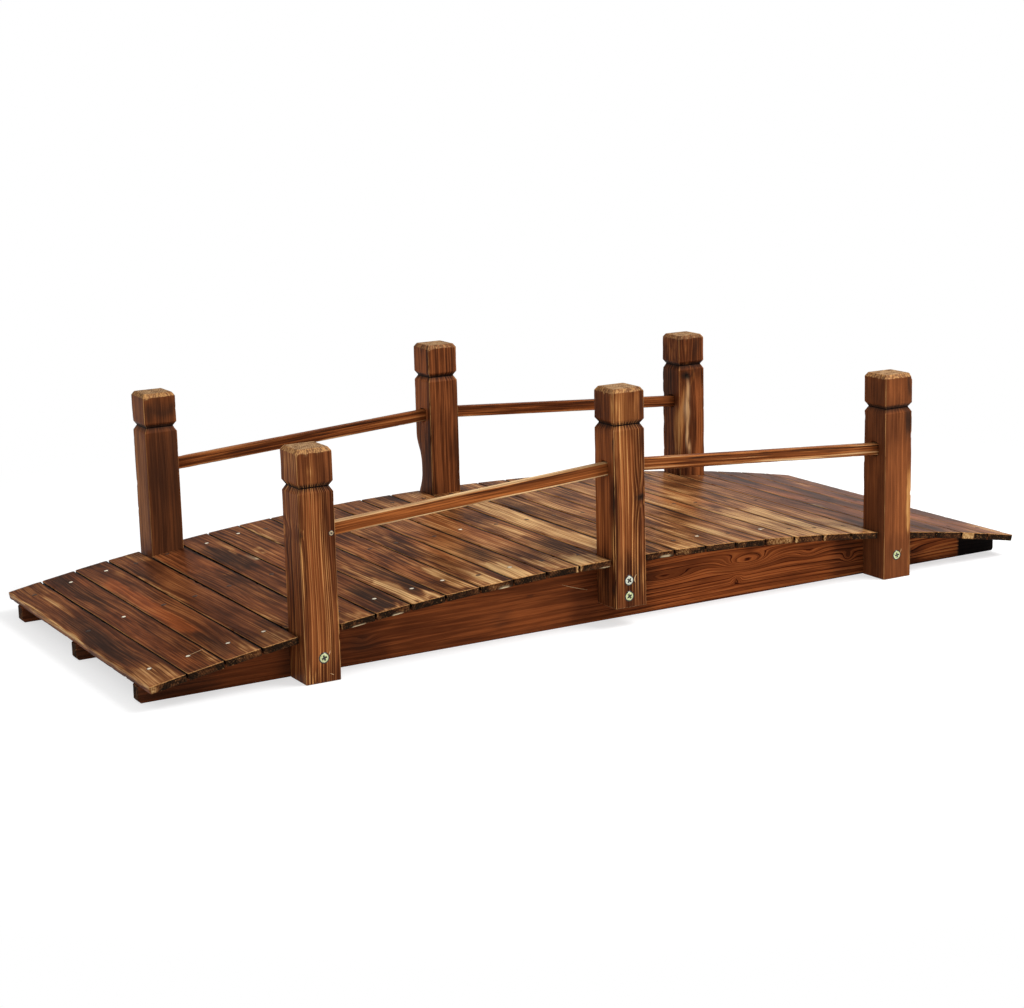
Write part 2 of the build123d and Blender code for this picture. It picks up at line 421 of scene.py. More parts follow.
def board_timber(number, raw, width):
    """Where a board lay in its tree: sawn beside and above the pith, a little askew and bowed."""
    rng = np.random.default_rng(400 + number)
    side = rng.choice([-1, 1]) * rng.uniform(0.2, 1.6) * width
    above = rng.uniform(25, 70)
    up_the_trunk = rng.uniform(3, 60) / MM
    timber = raw + [side, up_the_trunk, above]
    timber[:, 2] += raw[:, 1] * 0.02 * math.sin(number * 2.3)
    timber[:, 0] += ripples(raw, (400, 350, 400), 500 + number) * 2.5
    return timber


print("quads in a board:", len(board_shape(board_seat(board_nodes[0])[1] / 2, seed=0)[1]))

# %% [markdown]
# Stain pools in the seams and dries dark along the right edge of each board, and its left arris is rubbed
# golden. Inside a seam, the sides of a board below its arris are painted dark as shade. The boards right of
# the middle have the highest bare level.

# %% The finish of a board
# How bare each board is, along the deck: highest from the middle to the right.
BARE_LEVELS = ([1, 5, 9, 14, 18, 22, 24, 27], [0.16, 0.14, 0.3, 0.36, 0.38, 0.38, 0.12, 0.06])
LIVELY = ([1, 5, 9, 14, 20, 27], [0.65, 0.65, 0.85, 0.8, 0.9, 0.9])
POOL = ([5, 8, 16, 22], [3.2, 4.4, 5.6, 7.0])
POOL_ON_SHORT_BOARD = 1.6
SHORT_BOARD = 600
LEFT_RUN_END = 5
MIDDLE_RUN_END = 14
GOLD_LEFT = 0.9
GOLD_RIGHT = 0.88
SMOKE_RIGHT = 0.7


def stained_board(number, half, raw):
    """Gold, smoke and red of a board as if it had no ends, with painted shade on its sides in the seams, its
    pale chips, and its waviness.
    """
    x, y, z = raw.T
    wavy = ripples(raw, (30, 100, 50), 600 + number)
    fine = ripples(raw, (12, 50, 20), 700 + number)
    along = y + wavy * 7 + fine * 9
    gold, smoke_and_shade, red, pale = painted(along, x + wavy * 1.6 + fine * 0.9, DECK_MARKS[number])
    lift = np.interp(number, *BARE_LEVELS)
    if number <= LEFT_RUN_END:
        gold *= GOLD_LEFT
    if number > MIDDLE_RUN_END:
        gold *= GOLD_RIGHT
        smoke_and_shade *= SMOKE_RIGHT
    edge_in = half[0] - np.abs(x)
    from_top = half[2] - z
    has_neighbour = ((x > 0) & (number < len(board_nodes))) | ((x < 0) & (number > 1))
    # Painted shade: inside a seam, the sides of the board below its arris are painted dark with the smoke.
    gap_shade = smoothstep(0.4, 0.1, edge_in) * smoothstep(0.9, 1.6, from_top) * has_neighbour
    reach = np.interp(number, *POOL) * (POOL_ON_SHORT_BOARD if 2 * half[1] < SHORT_BOARD else 1)
    pool = smoothstep(reach, 1.2, edge_in) * (x > 0) * has_neighbour
    smoke_and_shade = np.maximum(smoke_and_shade, np.maximum(gap_shade * 1.5, pool * (1.15 + 0.2 * wavy)))
    gold = (np.maximum(gold, lift) + lift * 0.3) * (1 - 0.9 * pool)
    return gold, smoke_and_shade, red, pale, wavy


def board_finish(number, half, raw):
    """Marks and traits of a board: its stain fades down its sides and gives way to char at its ends."""
    x, y, z = raw.T
    gold, smoke_and_shade, red, pale, wavy = stained_board(number, half, raw)
    from_end = half[1] - np.abs(y)
    upper = smoothstep(-half[2], half[2] * 0.2, z)
    on_top = smoothstep(1.4, 0.5, half[2] - z)
    end = smoothstep(1.2, 0.2, from_end) * (1 - on_top * 0.9)
    at_end = smoothstep(8, 2, from_end)
    rubbed = np.where((x > 0) & (at_end < 0.5), 0.4, 1.15)
    arris = arris_nearness(raw, half, 1.6) * on_top * (0.82 + 0.14 * at_end) * rubbed
    front_end = smoothstep(1.0, 0.2, half[1] + y)
    ochre, _, _, chips = painted(x + wavy, z, END_MARKS.get(number, {}))
    stained = upper * (1 - end)
    opened = ochre * front_end
    marks = (np.maximum(gold * stained, opened), smoke_and_shade * stained, red * stained)
    end = end * (1 - 0.85 * np.minimum(opened, 1))
    return marks, (arris, end, np.maximum(pale * upper, chips * front_end))


print("the middle boards are bared to", np.interp(MIDDLE_RUN_END, *BARE_LEVELS))

# %% [markdown]
# Each board is made flat about its own middle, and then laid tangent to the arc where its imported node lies.

# %% The deck boards
boards = []
for number, node in enumerate(board_nodes, start=1):
    angle, size = board_seat(node)
    half = size / 2
    points, faces, raw = board_shape(half, 100 + number)
    marks, traits = board_finish(number, half, raw)
    placed = on_arc(angle, points[:, 0], points[:, 1], half[2] + points[:, 2])
    clear = np.random.default_rng(300 + number).uniform(0.35, 1.0)
    figure = np.tile([clear, clear, np.interp(number, *LIVELY)], (len(raw), 1))
    timber = board_timber(number, raw, size[0])
    name = f"board_{number:02d}"
    boards.append(put_timber(name, node, "deck_wood", placed, faces, timber, marks, traits, figure))
print("boards", len(boards), "with", sum(len(b.data.polygons) for b in boards), "quads")

# %% [markdown]
# A stringer is a plank on edge. Its lattice is cut as a straight block and its middle is then stretched
# up to the arc, so the lines beside its sole and its top stay close together and the edges stay crisp.

# %% The shape of a stringer
TOE_BEVEL = 4
NOMINAL = 80
EDGE_BAND = 4
STRINGER_CHEW = dict(size=(50, 20, 20), above=1.0, depth=0.8)


def stretched(z, top):
    """Leave a band by the sole and one by the top as they are, and stretch what is between to the top."""
    between = EDGE_BAND + (z - EDGE_BAND) * (top - 2 * EDGE_BAND) / (NOMINAL - 2 * EDGE_BAND)
    raised = np.where(z > NOMINAL - EDGE_BAND, top - (NOMINAL - z), between)
    return np.where(z < EDGE_BAND, z, raised)


def stringer_shape(node, seed):
    """A stringer's points and quads, its block with the true heights, arris nearness and half length."""
    low, high = limits(node)
    half = np.array([high[0] - low[0], high[1] - low[1], NOMINAL]) / 2
    raw, faces = block(lines(half[0], ARRIS_LINES, 6), lines(half[1], THIN_LINES, 5),
                       lines(half[2], THIN_LINES, 4))
    points = eased(raw, half, corner=1.6, top=0.9, bottom=1.2)
    top = arc_centre_z + np.sqrt(seat_radius**2 - points[:, 0] ** 2)
    height = stretched(points[:, 2] + half[2], top)
    toe = half[0] - np.maximum(TOE_BEVEL - height, 0)
    near = arris_nearness(raw, half, 1.2)
    flat = np.column_stack([raw[:, :2], height])
    bitten = near * bites(flat, seed, **STRINGER_CHEW)
    side = points[:, 1] + (low[1] + high[1]) / 2
    points = np.column_stack([np.clip(points[:, 0], -toe, toe), side, height])
    points[:, :2] -= (outward(raw, half, 2.5) * bitten[:, None])[:, :2]
    return points, faces, flat, near, half[0]


print("quads in a stringer:", len(stringer_shape("stringer_front", seed=0)[1]))

# %% [markdown]
# The front stringer shows slash sawn figure: rings that close into eyes and tongues. A ring follows equal
# height, so a soft hill or hollow added to the height bends the rings round a place. Its left half lay
# straighter in the tree. The right end, past the last post, is black, from a sharp edge to the tip.

# %% The stringers
# Just left of the right front post, the smoke 440 to 490 mm along is partly char and partly the painted
# shadow of the post.
STRINGER_MARKS = {
    "stringer_front": {"gold": [(585, 690, 5, 60, 0.3)], "smoke_and_shade": [(-770, -640, 0, 100, 0.55),
        (-560, -480, 0, 100, 0.8), (-448, -400, 18, 44, 0.55), (-215, -165, 15, 42, 0.5),
        (-150, -134, 55, 60, 0.9), (440, 490, 0, 90, 0.3), (90, 112, 3, 9, 0.7)],
        "red": [(-400, -60, 5, 90, 0.5), (60, 420, 0, 90, 0.8), (590, 675, 5, 60, 1.0)]},
    "stringer_middle": {"smoke_and_shade": [(-770, -735, 0, 60, 0.9), (735, 770, 0, 60, 0.9)]},
    "stringer_back": {"smoke_and_shade": [(-770, -650, 0, 100, 0.6), (600, 770, 0, 100, 0.6)]},
}
HILLS = [(252, 54, 46, 11, 20), (96, 50, 60, 8, 11), (232, 28, 8, 6, -8), (372, 49, 26, 7, 7),
         (452, 33, 10, 8, 8), (-420, 33, 16, 8, 5), (560, 22, 60, 9, 6)]
BLACK_TIP_FROM = 684

stringers = []
for order, (node, spots) in enumerate(STRINGER_MARKS.items()):
    points, faces, flat, near, half_length = stringer_shape(node, 30 + order)
    along, side, height = flat.T
    wavy = ripples(flat, (120, 50, 30), 40 + order)
    gold, smoke_and_shade, red, pale = painted(along + wavy * 8, height + wavy * 1.5, spots)
    clear = smoothstep(-90, 50, along)
    bow = ripples(flat, (500, 300, 60), 50 + order) * 2.4 * (0.25 + 0.75 * clear)
    ring = height * 0.72 + side * 0.8 + bow
    if node == "stringer_front":
        smoke_and_shade = np.maximum(smoke_and_shade, 1.6 * smoothstep(BLACK_TIP_FROM - 1.5, BLACK_TIP_FROM + 1.5, along))
        for at, level, reach, spread, swell in HILLS:
            ring += np.exp(-(((along - at) / reach) ** 2) - ((height - level) / spread) ** 2) * swell
    timber = np.column_stack([ring + 400 + 100 * order, along + 5000 * order, side])
    end = smoothstep(1.6, 0.2, half_length - np.abs(along)) * (1 - near * 0.6)
    figure = np.column_stack([clear, clear, 0.55 + 0.45 * clear])
    name = node.replace("stringer", "bearer")
    marks = (gold, smoke_and_shade, red)
    traits = (near * 0.35, end, pale)
    stringers.append(put_timber(name, node, "stringer_wood", points, faces, timber, marks, traits, figure))
print("stringers", [len(s.data.polygons) for s in stringers])

# %% [markdown]
# The posts' marks are given up the post from its foot, and across the face from its middle, for the front
# and the left face. The faces that don't show take the marks of the opposite face, mirrored.

# %% The posts' marks
POST_MARKS = {
    "post_front_left": {
        "front": {"gold": [(0, 20, -24, -10, 0.8), (10, 326, -18, 14, 0.26), (120, 206, -27, -20, 0.85),
            (296, 312, -14, -2, 0.6), (30, 120, 22, 27, 0.5)], "smoke_and_shade": [(55, 160, 8, 24, 0.3)],
            "red": [(20, 270, -20, 8, 0.8)]},
        "left": {"gold": [(288, 332, -20, 26, 0.4), (0, 14, 20, 27, 0.8)],
            "red": [(90, 270, -24, 20, 0.35)]}},
    # On the middle front post's left face, the smoke from its foot to 58 mm up is painted shade.
    "post_front_middle": {
        "front": {"gold": [(286, 318, -27, -19, 0.7), (178, 238, 17, 26, 0.6), (22, 80, 21, 27, 0.7),
            (60, 150, -27, -22, 0.7), (20, 326, -24, 18, 0.44)], "smoke_and_shade": [(286, 330, 16, 27, 0.6),
            (235, 270, 14, 24, 0.5), (28, 62, 4, 19, 0.75)], "red": [(70, 270, -20, 10, 0.8)]},
        "left": {"gold": [(286, 330, 17, 26, 0.8), (60, 132, 19, 27, 0.9), (0, 24, 18, 27, 0.7)],
            "smoke_and_shade": [(244, 264, 22, 27, 1.2), (150, 182, 22, 27, 1.2), (24, 40, 18, 24, 1.1),
            (0, 58, -28, 16, 0.4)], "red": [(70, 280, -26, 16, 0.7)]}},
    "post_front_right": {
        "front": {"gold": [(0, 320, -22, 18, 0.14), (70, 175, 18, 27, 1.1), (0, 70, 22, 27, 0.6)],
            "smoke_and_shade": [(296, 330, 14, 27, 1.0), (232, 284, 13, 27, 1.0)], "red": [(60, 230, -24, 16, 0.5),
            (286, 325, -24, 12, 0.5)]},
        "left": {"smoke_and_shade": [(0, 332, -27, 27, 0.42)], "red": [(120, 280, -20, 20, 0.3)]}},
    "post_back_left": {
        "front": {"smoke_and_shade": [(286, 324, -27, 27, 0.85), (60, 278, 8, 27, 0.62), (0, 278, -27, 27, 0.55)]},
        "left": {"gold": [(80, 274, -27, 22, 0.46), (286, 318, -27, 24, 0.3)],
            "smoke_and_shade": [(322, 335, -27, 27, 0.9)]}},
    "post_back_middle": {
        "front": {"smoke_and_shade": [(0, 332, -27, 27, 0.28), (60, 200, 12, 27, 0.45)],
            "red": [(0, 332, -24, 20, 0.3)]},
        "left": {"smoke_and_shade": [(284, 330, 18, 27, 0.7), (60, 190, -27, 27, 0.5)],
            "red": [(200, 332, -27, 18, 0.9)]}},
    "post_back_right": {
        "front": {"gold": [(214, 247, -11, -5, 1.4), (180, 216, -14, -8, 1.5), (140, 184, -12, -6, 1.4),
            (112, 144, -9, -3, 1.2), (118, 212, -27, -21, 0.95), (150, 244, -24, -9, 0.7),
            (286, 325, -24, -4, 0.35)], "smoke_and_shade": [(262, 274, -8, 8, 0.8), (284, 330, 4, 16, 0.7)],
            "red": [(60, 250, 6, 27, 0.9)], "pale": [(216, 247, -11, -5, 0.35), (180, 218, -15, -8, 0.4),
            (138, 184, -12, -6, 0.35), (108, 142, -9, -4, 0.26)]},
        "left": {"gold": [(110, 205, 8, 27, 0.9), (286, 325, -24, 20, 0.3)],
            "smoke_and_shade": [(196, 280, -27, 8, 0.75), (100, 180, -27, -8, 0.5)]}},
}
print("faces of posts with marks:", sum(len(faces) for faces in POST_MARKS.values()))

# %% [markdown]
# Each post was sawn from another part of a tree. A row gives the pith's place beside the post, how strong
# the dark rings, bright rings and broken colour are, how golden the cap's chamfer is, and the knots: the
# face, across, up, and size.

# %% The timber of each post
POST_TIMBER = {
    "post_front_left": dict(pith=(-95, 30), figure=(1.0, 1.4, 0.8), cap=0.95, knots=[("front", -25, 214, 3)]),
    "post_front_middle": dict(pith=(-60, 45), figure=(0.9, 0.9, 0.9), cap=0.8, knots=[("front", 18, 168, 6)]),
    "post_front_right": dict(pith=(-110, -40), figure=(0.12, 0.1, 0.4), cap=0.8, knots=[]),
    "post_back_left": dict(pith=(-120, 60), figure=(0.12, 0.05, 0.45), cap=1.0,
                           knots=[("front", -8.5, 194, 1.8)]),
    "post_back_middle": dict(pith=(75, 30), figure=(0.6, 0.3, 0.9), cap=0.5, knots=[]),
    "post_back_right": dict(pith=(-24, 62), figure=(0.4, 0.4, 1.0), cap=0.4, knots=[("front", -11, 260, 9)]),
}
print("knots:", sum(len(look["knots"]) for look in POST_TIMBER.values()))

# %% [markdown]
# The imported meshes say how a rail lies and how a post's half width changes with height: straight, in to
# the groove's root, out to the cap, and in again at the chamfer.

# %% Read the rails and the posts from the frame
def rail_line(node):
    """Middle, direction, upward direction, half length, half height and half thickness of a rail."""
    p = corners(node)
    middle = p.mean(axis=0)
    right_end = p[p[:, 0] > middle[0]].mean(axis=0)
    way = (right_end - middle) / np.linalg.norm(right_end - middle)
    up = np.array([-way[2], 0, way[0]])
    near = p - middle
    return SimpleNamespace(middle=middle, way=way, up=up, long=np.abs(near @ way).max(),
                           tall=np.abs(near @ up).max(), thick=np.abs(near[:, 1]).max())


rail_nodes = sorted(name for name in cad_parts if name.startswith("handrail"))
rail_lines = {node: rail_line(node) for node in rail_nodes}


def read_post(node):
    """The foot of a post, its heights and half widths, and the rails that end in it."""
    low, high = limits(node)
    foot = np.array([(low[0] + high[0]) / 2, (low[1] + high[1]) / 2, low[2]])
    p = corners(node) - foot
    reach = np.abs(p[:, :2]).max(axis=1)
    levels = np.unique(p[:, 2].round(2))
    widest = np.array([reach[np.abs(p[:, 2] - z) < 0.02].max() for z in levels])
    kept = widest > 0.8 * reach.max()
    half = reach.max()
    rails = [r for r in rail_lines.values() if abs(r.middle[1] - foot[1]) < half
             and abs(abs(r.middle[0] - foot[0]) - r.long) < half]
    return SimpleNamespace(foot=foot, levels=levels[kept], widths=widest[kept], half=half,
                           tall=high[2] - low[2], rails=rails)


print("rails in the middle post:", len(read_post("post_front_middle").rails))

# %% [markdown]
# A post's lattice has rows close together where its outline bends, and rows and columns round each socket.
# The sockets are shallow slots pressed round the rail ends, as the real ones show.

# %% The lattice and the sockets of a post
POST_EDGE = np.array([0, 0.35, 0.8, 1.3, 1.9, 3.2])
BEND_ROWS = np.array([-1.2, -0.6, 0, 0.6, 1.2])
SOCKET_COLUMNS = np.array([6.6, 7.2, 7.8, 8.4])
SOCKET_ROWS = np.array([-2, -1, 0, 0.7, 1.3, 2.0])
SOCKET_DEPTH = 4
SOCKET_CORNER = 2


def entry(post, rail):
    """Where a rail enters a post: +1 on its right or -1 on its left, that face's x, and the rail's height."""
    hand = np.sign(rail.middle[0] - post.foot[0])
    face = post.foot[0] + hand * post.half
    return hand, face, rail.middle[2] + (face - rail.middle[0]) * rail.way[2] / rail.way[0]


def post_lattice(post):
    """The block that a post is cut from, on its foot."""
    rows = [lines(post.tall / 2, POST_EDGE, 4) + post.tall / 2]
    rows += [z + BEND_ROWS for z in post.levels[1:-1] if z > 0.7 * post.tall]
    for rail in post.rails:
        at = entry(post, rail)[2] - post.foot[2]
        rows += [[rail.middle[2] - post.foot[2]], at + rail.tall + SOCKET_ROWS, at - rail.tall - SOCKET_ROWS]
    rows = np.unique(np.concatenate(rows).round(1))
    rows = rows[(rows >= 0) & (rows <= post.tall + 1e-3)]
    plan = lines(post.half, POST_EDGE, 2.6)
    columns = np.unique(np.concatenate([plan, SOCKET_COLUMNS, -SOCKET_COLUMNS]).round(3))
    return block(plan, columns, rows)


def socket_dip(post, points, rail):
    """1 inside the socket of a rail, 0 outside: a slot with round corners, a little larger than the rail."""
    hand, face, at_z = entry(post, rail)
    past_y = np.maximum(np.abs(points[:, 1] - rail.middle[1]) - (rail.thick - SOCKET_CORNER), 0)
    past_z = np.maximum(np.abs(points[:, 2] - at_z) - (rail.tall - SOCKET_CORNER), 0)
    inside = smoothstep(1.9, 1.1, np.hypot(past_y, past_z) - SOCKET_CORNER)
    return hand, inside * (np.abs(points[:, 0] - face) < 0.3)


print("a socket is", SOCKET_DEPTH, "mm deep")

# %% [markdown]
# Scaling a square plan by the half width at each height makes mitres at the corners of the groove and the
# cap. The corners are then eased and chewed. The middle back post was cut from the edge of a log, so one
# corner has a hollow where the bark was.

# %% The shape of a post
BRIM_ROUND = 0.8
FOOT_ROUND = 1.0
POST_EASE = 1.4
POST_WEAR = dict(size=(30, 30, 60), above=0, depth=0.9)
POST_CHEW = dict(size=(10, 10, 20), above=1.1, depth=1.3)
WANE_REACH = 9
WANE_PUSH = (7, -9)
SAMPLES = np.array([-0.5, -0.25, 0, 0.25, 0.5])
SHARES = np.array([1, 2, 3, 2, 1]) / 9


def drawn_in(inside, radius):
    """How far a round edge draws in: radius * (1 - sqrt(1 - past^2)), past being 1 at the very edge."""
    past = np.clip(1 - inside / radius, 0, 1)
    return radius * (1 - np.sqrt(1 - past**2))


def post_shape(node, post, order):
    """Points and quads of a post, its block, how near the upright arrises are, and its sockets."""
    raw, faces = post_lattice(post)
    z = raw[:, 2]
    wide = (np.interp(z[:, None] + SAMPLES, post.levels, post.widths) * SHARES).sum(axis=1)
    wide = wide - drawn_in(post.tall - z, BRIM_ROUND) - drawn_in(z, FOOT_ROUND)
    plan = raw[:, :2] * (wide / post.half)[:, None]
    straight = (wide - POST_EASE - bites(raw, 800 + order, **POST_WEAR))[:, None]
    past = np.maximum(np.abs(plan) - straight, 0)
    plan = np.sign(plan) * (np.minimum(np.abs(plan), straight) + np.column_stack(squeeze(*past.T)))
    near = np.exp(-(post.half - np.abs(raw[:, :2]).min(axis=1)) / 1.9)
    plan -= np.sign(plan) * (near * bites(raw, 820 + order, **POST_CHEW))[:, None]
    points = np.column_stack([plan, z]) + post.foot
    socket = np.zeros(len(points))
    for rail in post.rails:
        hand, dip = socket_dip(post, points, rail)
        points[:, 0] -= hand * dip * SOCKET_DEPTH
        socket = np.maximum(socket, dip)
    if node == "post_back_middle":
        wane = np.exp(-np.hypot(raw[:, 0] + post.half, raw[:, 1] - post.half) / WANE_REACH)
        wane *= smoothstep(60, 110, z) * (1 - smoothstep(120, 175, z))
        points[:, :2] += wane[:, None] * WANE_PUSH
    return points, faces, raw, near, socket


print("a post's brim draws in by", drawn_in(0, BRIM_ROUND), "mm at its edge")

# %% [markdown]
# The groove is painted dark as shade, most on its upper slope, which faces down, and at its root, and the
# sockets round the rails are painted dark as shade. The cap's chamfer was sanded back, so crumbs of golden
# wood show there. A knot pushes the rings aside, is charred at its core, and has a golden rim.

# %% The finish of a post
def post_sides(raw, half):
    """Which points are on each face, the place across it, and whose marks it takes, which way round."""
    x, y = raw[:, 0], raw[:, 1]
    skin = half - 1e-3
    return {"front": (y < -skin, x, "front", 1), "left": (x < -skin, -y, "left", 1),
            "back": (y > skin, -x, "front", -1), "right": (x > skin, y, "left", -1)}


def add_knot(knot, sides, raw, timber, smoke_and_shade, gold, wavy, fine):
    """Turn the rings of `timber` round a knot, and give back smoke and gold with its core and its rim."""
    side, at_across, at_z, size = knot
    on_side, across, _, _ = sides[side]
    dx = (across - at_across) / size
    dz = (raw[:, 2] - at_z) / size
    timber[:, 0] += np.sign(dx + 1e-6) * np.exp(-((dx / 2.2) ** 2 + (dz / 5) ** 2)) * size * 0.7
    core = np.exp(-((dx / 1.1 + fine * 0.12) ** 2 + (dz / 0.75 + wavy * 0.2) ** 2))
    rim = np.exp(-((np.hypot(dx / 1.3, dz / 1.9) - 1.25) / 0.28) ** 2)
    return np.maximum(smoke_and_shade, core * 1.55 * on_side), np.maximum(gold, rim * 0.55 * on_side)


def post_finish(node, post, order, raw, near, socket):
    """The timber, marks, traits and figure of a post."""
    look = POST_TIMBER[node]
    z = raw[:, 2]
    wavy = ripples(raw, (20, 20, 80), 840 + order)
    fine = ripples(raw, (8, 8, 30), 860 + order)
    sides = post_sides(raw, post.half)
    found = np.zeros((4, len(raw)))
    for on_side, across, source, turned in sides.values():
        spots = POST_MARKS[node][source]
        face = painted(z + wavy * 4 + fine * 3, turned * across + wavy + fine * 0.6, spots)
        found = np.maximum(found, face * on_side)
    gold, smoke_and_shade, red, pale = found
    on_top = smoothstep(post.tall - 0.5, post.tall - 0.1, z)
    cut_in = (post.half - np.interp(z, post.levels, post.widths)) * (z < post.tall - 20)
    groove_shade = smoothstep(0.3, 2.5, cut_in)
    root = smoothstep(3.3, 4.5, cut_in)
    upper_slope_shade = groove_shade * (z > post.levels[np.argmin(post.widths[:-1])])
    chamfer = smoothstep(post.tall - 7.0, post.tall - 5.8, z + fine * 0.5) * (1 - on_top)
    gilt = chamfer * look["cap"]
    gold = np.maximum(gold, gilt * 0.25)
    # Painted shade: the groove, its upper slope and its root, and the sockets round the rail ends are painted
    # dark with the smoke.
    smoke_and_shade = np.max([smoke_and_shade, groove_shade * 0.6, upper_slope_shade, root * 1.5, socket * 1.4], axis=0)
    end = np.max([on_top, smoothstep(1.0, 0.1, z), chamfer * 0.35], axis=0)
    timber = np.column_stack([raw[:, 0], z + 3000 * order, raw[:, 1]])
    timber -= [look["pith"][0], 0, look["pith"][1]]
    timber[:, 0] += ripples(raw, (200, 200, 250), 880 + order) * 1.6
    for knot in look["knots"]:
        smoke_and_shade, gold = add_knot(knot, sides, raw, timber, smoke_and_shade, gold, wavy, fine)
    calm = 1 - 0.6 * smoothstep(post.tall - 52, post.tall - 46, z)
    figure = np.column_stack([calm, calm, np.ones(len(z))]) * look["figure"]
    return timber, (gold, smoke_and_shade, red), (np.maximum(near, gilt * 0.8), end, pale), figure


print("a post has marks on its", ", ".join(post_sides(np.zeros((1, 3)), 1)))

# %% [markdown]
# With a shape and a finish, the six posts are a short loop.

# %% The posts
posts = []
for order, node in enumerate(POST_MARKS):
    post = read_post(node)
    points, faces, raw, near, socket = post_shape(node, post, order)
    name = node.replace("post", "newel")
    finish = post_finish(node, post, order, raw, near, socket)
    posts.append(put_timber(name, node, "post_wood", points, faces, *finish))
print("posts", [len(p.data.polygons) for p in posts])

# %% [markdown]
# A rail is a slim bar let into the posts. Its top was planed after the torch, so it is pale, and its
# lower arris is worn golden. The row for each rail says how pale the top and the lower arris are, how warm
# the stain is, how golden the ground is, and how much its arrises are rubbed.

# %% The handrails
RAIL_LOOKS = {"front_left": (1.2, 0.95, 0.9, 0.0, 1.0), "front_right": (0.35, 0.5, 0.6, 0.22, 0.7),
              "back_left": (0.12, 0.5, 0.5, 0.12, 0.6), "back_right": (0.1, 0.3, 0.45, 0.08, 0.5)}
RAIL_EASE = 1.3
RAIL_CHEW = dict(size=(20, 10, 10), above=0.9, depth=0.7)

rails = []
for order, (node, rail) in enumerate(rail_lines.items()):
    half = np.array([rail.long, rail.thick, rail.tall])
    raw, faces = block(lines(rail.long, ARRIS_LINES, 6), lines(rail.thick, THIN_LINES, 2),
                       lines(rail.tall, THIN_LINES, 2))
    z = raw[:, 2]
    near = arris_nearness(raw, half, 1.0)
    points = eased(raw, half, RAIL_EASE, RAIL_EASE, RAIL_EASE)
    points -= outward(raw, half, 2) * (near * bites(raw, 900 + order, **RAIL_CHEW))[:, None]
    placed = rail.middle + points @ np.array([rail.way, [0, 1, 0], rail.up])
    wavy = ripples(raw, (100, 20, 10), 920 + order)
    top = smoothstep(1.2, 0.4, rail.tall - z)
    bottom = smoothstep(3.2, 1.0, rail.tall + z)
    pale_top, pale_arris, warm, golden, rubbed = RAIL_LOOKS[node.removeprefix("handrail_")]
    ground = golden * (1 + 0.9 * ripples(raw, (250, 50, 6), 940 + order))
    gold = np.max([top * (pale_top + wavy * 0.1), bottom * (pale_arris + wavy * 0.25), ground], axis=0)
    streak = z + wavy * 0.6
    low_streak = smoothstep(1.3, 0.2, np.abs(streak - 1.5)) * 0.6 * (pale_top < 1)
    high_streak = smoothstep(1.1, 0.2, np.abs(streak - rail.tall + 2.6)) * 0.8
    marks = (gold, np.maximum(low_streak, high_streak), np.full(len(raw), warm))
    traits = (near * rubbed, smoothstep(1, 0, rail.long - np.abs(raw[:, 0])), np.zeros(len(raw)))
    timber = np.column_stack([z + 30, raw[:, 0] + 7000 * order, raw[:, 1] + 45])
    figure = np.ones((len(raw), 3))
    name = node.replace("handrail", "rail")
    rails.append(put_timber(name, node, "rail_wood", placed, faces, timber, marks, traits, figure))
print("rails", [len(r.data.polygons) for r in rails])

# %% [markdown]
# The screws have shallow pan heads with a cross recess, turned in just under flush. A head is a disc of
# rings and spokes: its height is a dome, less the recess, which is deep where the point is near either
# arm of the cross. One function makes every size, and the nail heads are the same disc without a cross.

# %% The head of a screw or a nail
def head(radius, dome, rise, cross, rings, spokes, arm=0.0):
    """A round head facing +Z, and where it is dark: in its recess, and in a painted shadow ring round it.

    Height = rise + dome * (1 - r^4), less a recess where the point is near either arm of a cross. A narrow
    dark collar lies round it on the wood: a painted shadow ring round the head."""
    r = np.concatenate([np.linspace(0, 1, rings)[1:], [1.01, 1.26, 1.26]])
    angle = np.arange(spokes) * 2 * np.pi / spokes
    ring, spoke = np.meshgrid(r, angle, indexing="ij")
    x = ring * np.cos(spoke)
    y = ring * np.sin(spoke)
    recess = np.zeros_like(x)
    for a, b in ((x, y), (y, x)):
        in_arm = smoothstep(0.24, 0.17, np.abs(a)) * smoothstep(arm + 0.06, arm - 0.12, np.abs(b))
        recess = np.maximum(recess, in_arm * (cross > 0))
    z = rise + dome * (1 - ring**4) - cross * recess
    z[-3:] = [[0.08], [0.05], [-0.4]]
    # The collar round the head is painted dark as its shadow on the wood, and the cross recess is dark too.
    hollow = np.maximum(recess, ring > 1.005)
    points = np.stack([x * radius, y * radius, z], axis=-1).reshape(-1, 3)
    points = np.vstack([points, [0, 0, rise + dome - cross], [0, 0, -0.4]])
    hollow = np.append(hollow.ravel(), [float(cross > 0), 1.0])
    grid = np.arange(ring.size).reshape(ring.shape)
    after = np.roll(grid, -1, axis=1)
    wall = np.stack([grid[:-1], grid[1:], after[1:], after[:-1]], axis=-1).reshape(-1, 4)
    top = np.stack([np.full(spokes, ring.size), grid[0], after[0]], axis=-1)
    base = np.stack([np.full(spokes, ring.size + 1), after[-1], grid[-1]], axis=-1)
    return points, wall.tolist() + top.tolist() + base.tolist(), hollow


def put_head(name, place, facing, spin, **shape):
    """Stand a head at a place with its face along `facing`."""
    points, faces, hollow = head(**shape)
    turn = np.array(Vector(facing).to_track_quat("Z", "Y").to_matrix() @ Matrix.Rotation(spin, 3, "Z"))
    return put_piece(name, points @ turn.T + place, faces, hollow=hollow)


print("points in a small head:", len(head(3, 0.3, 0.2, 0, rings=4, spokes=12)[0]))

# %% [markdown]
# One screw holds each end post and two hold the middle one, and a smaller one holds the left rail. They
# stand on the outer faces, the same at the front and at the back.

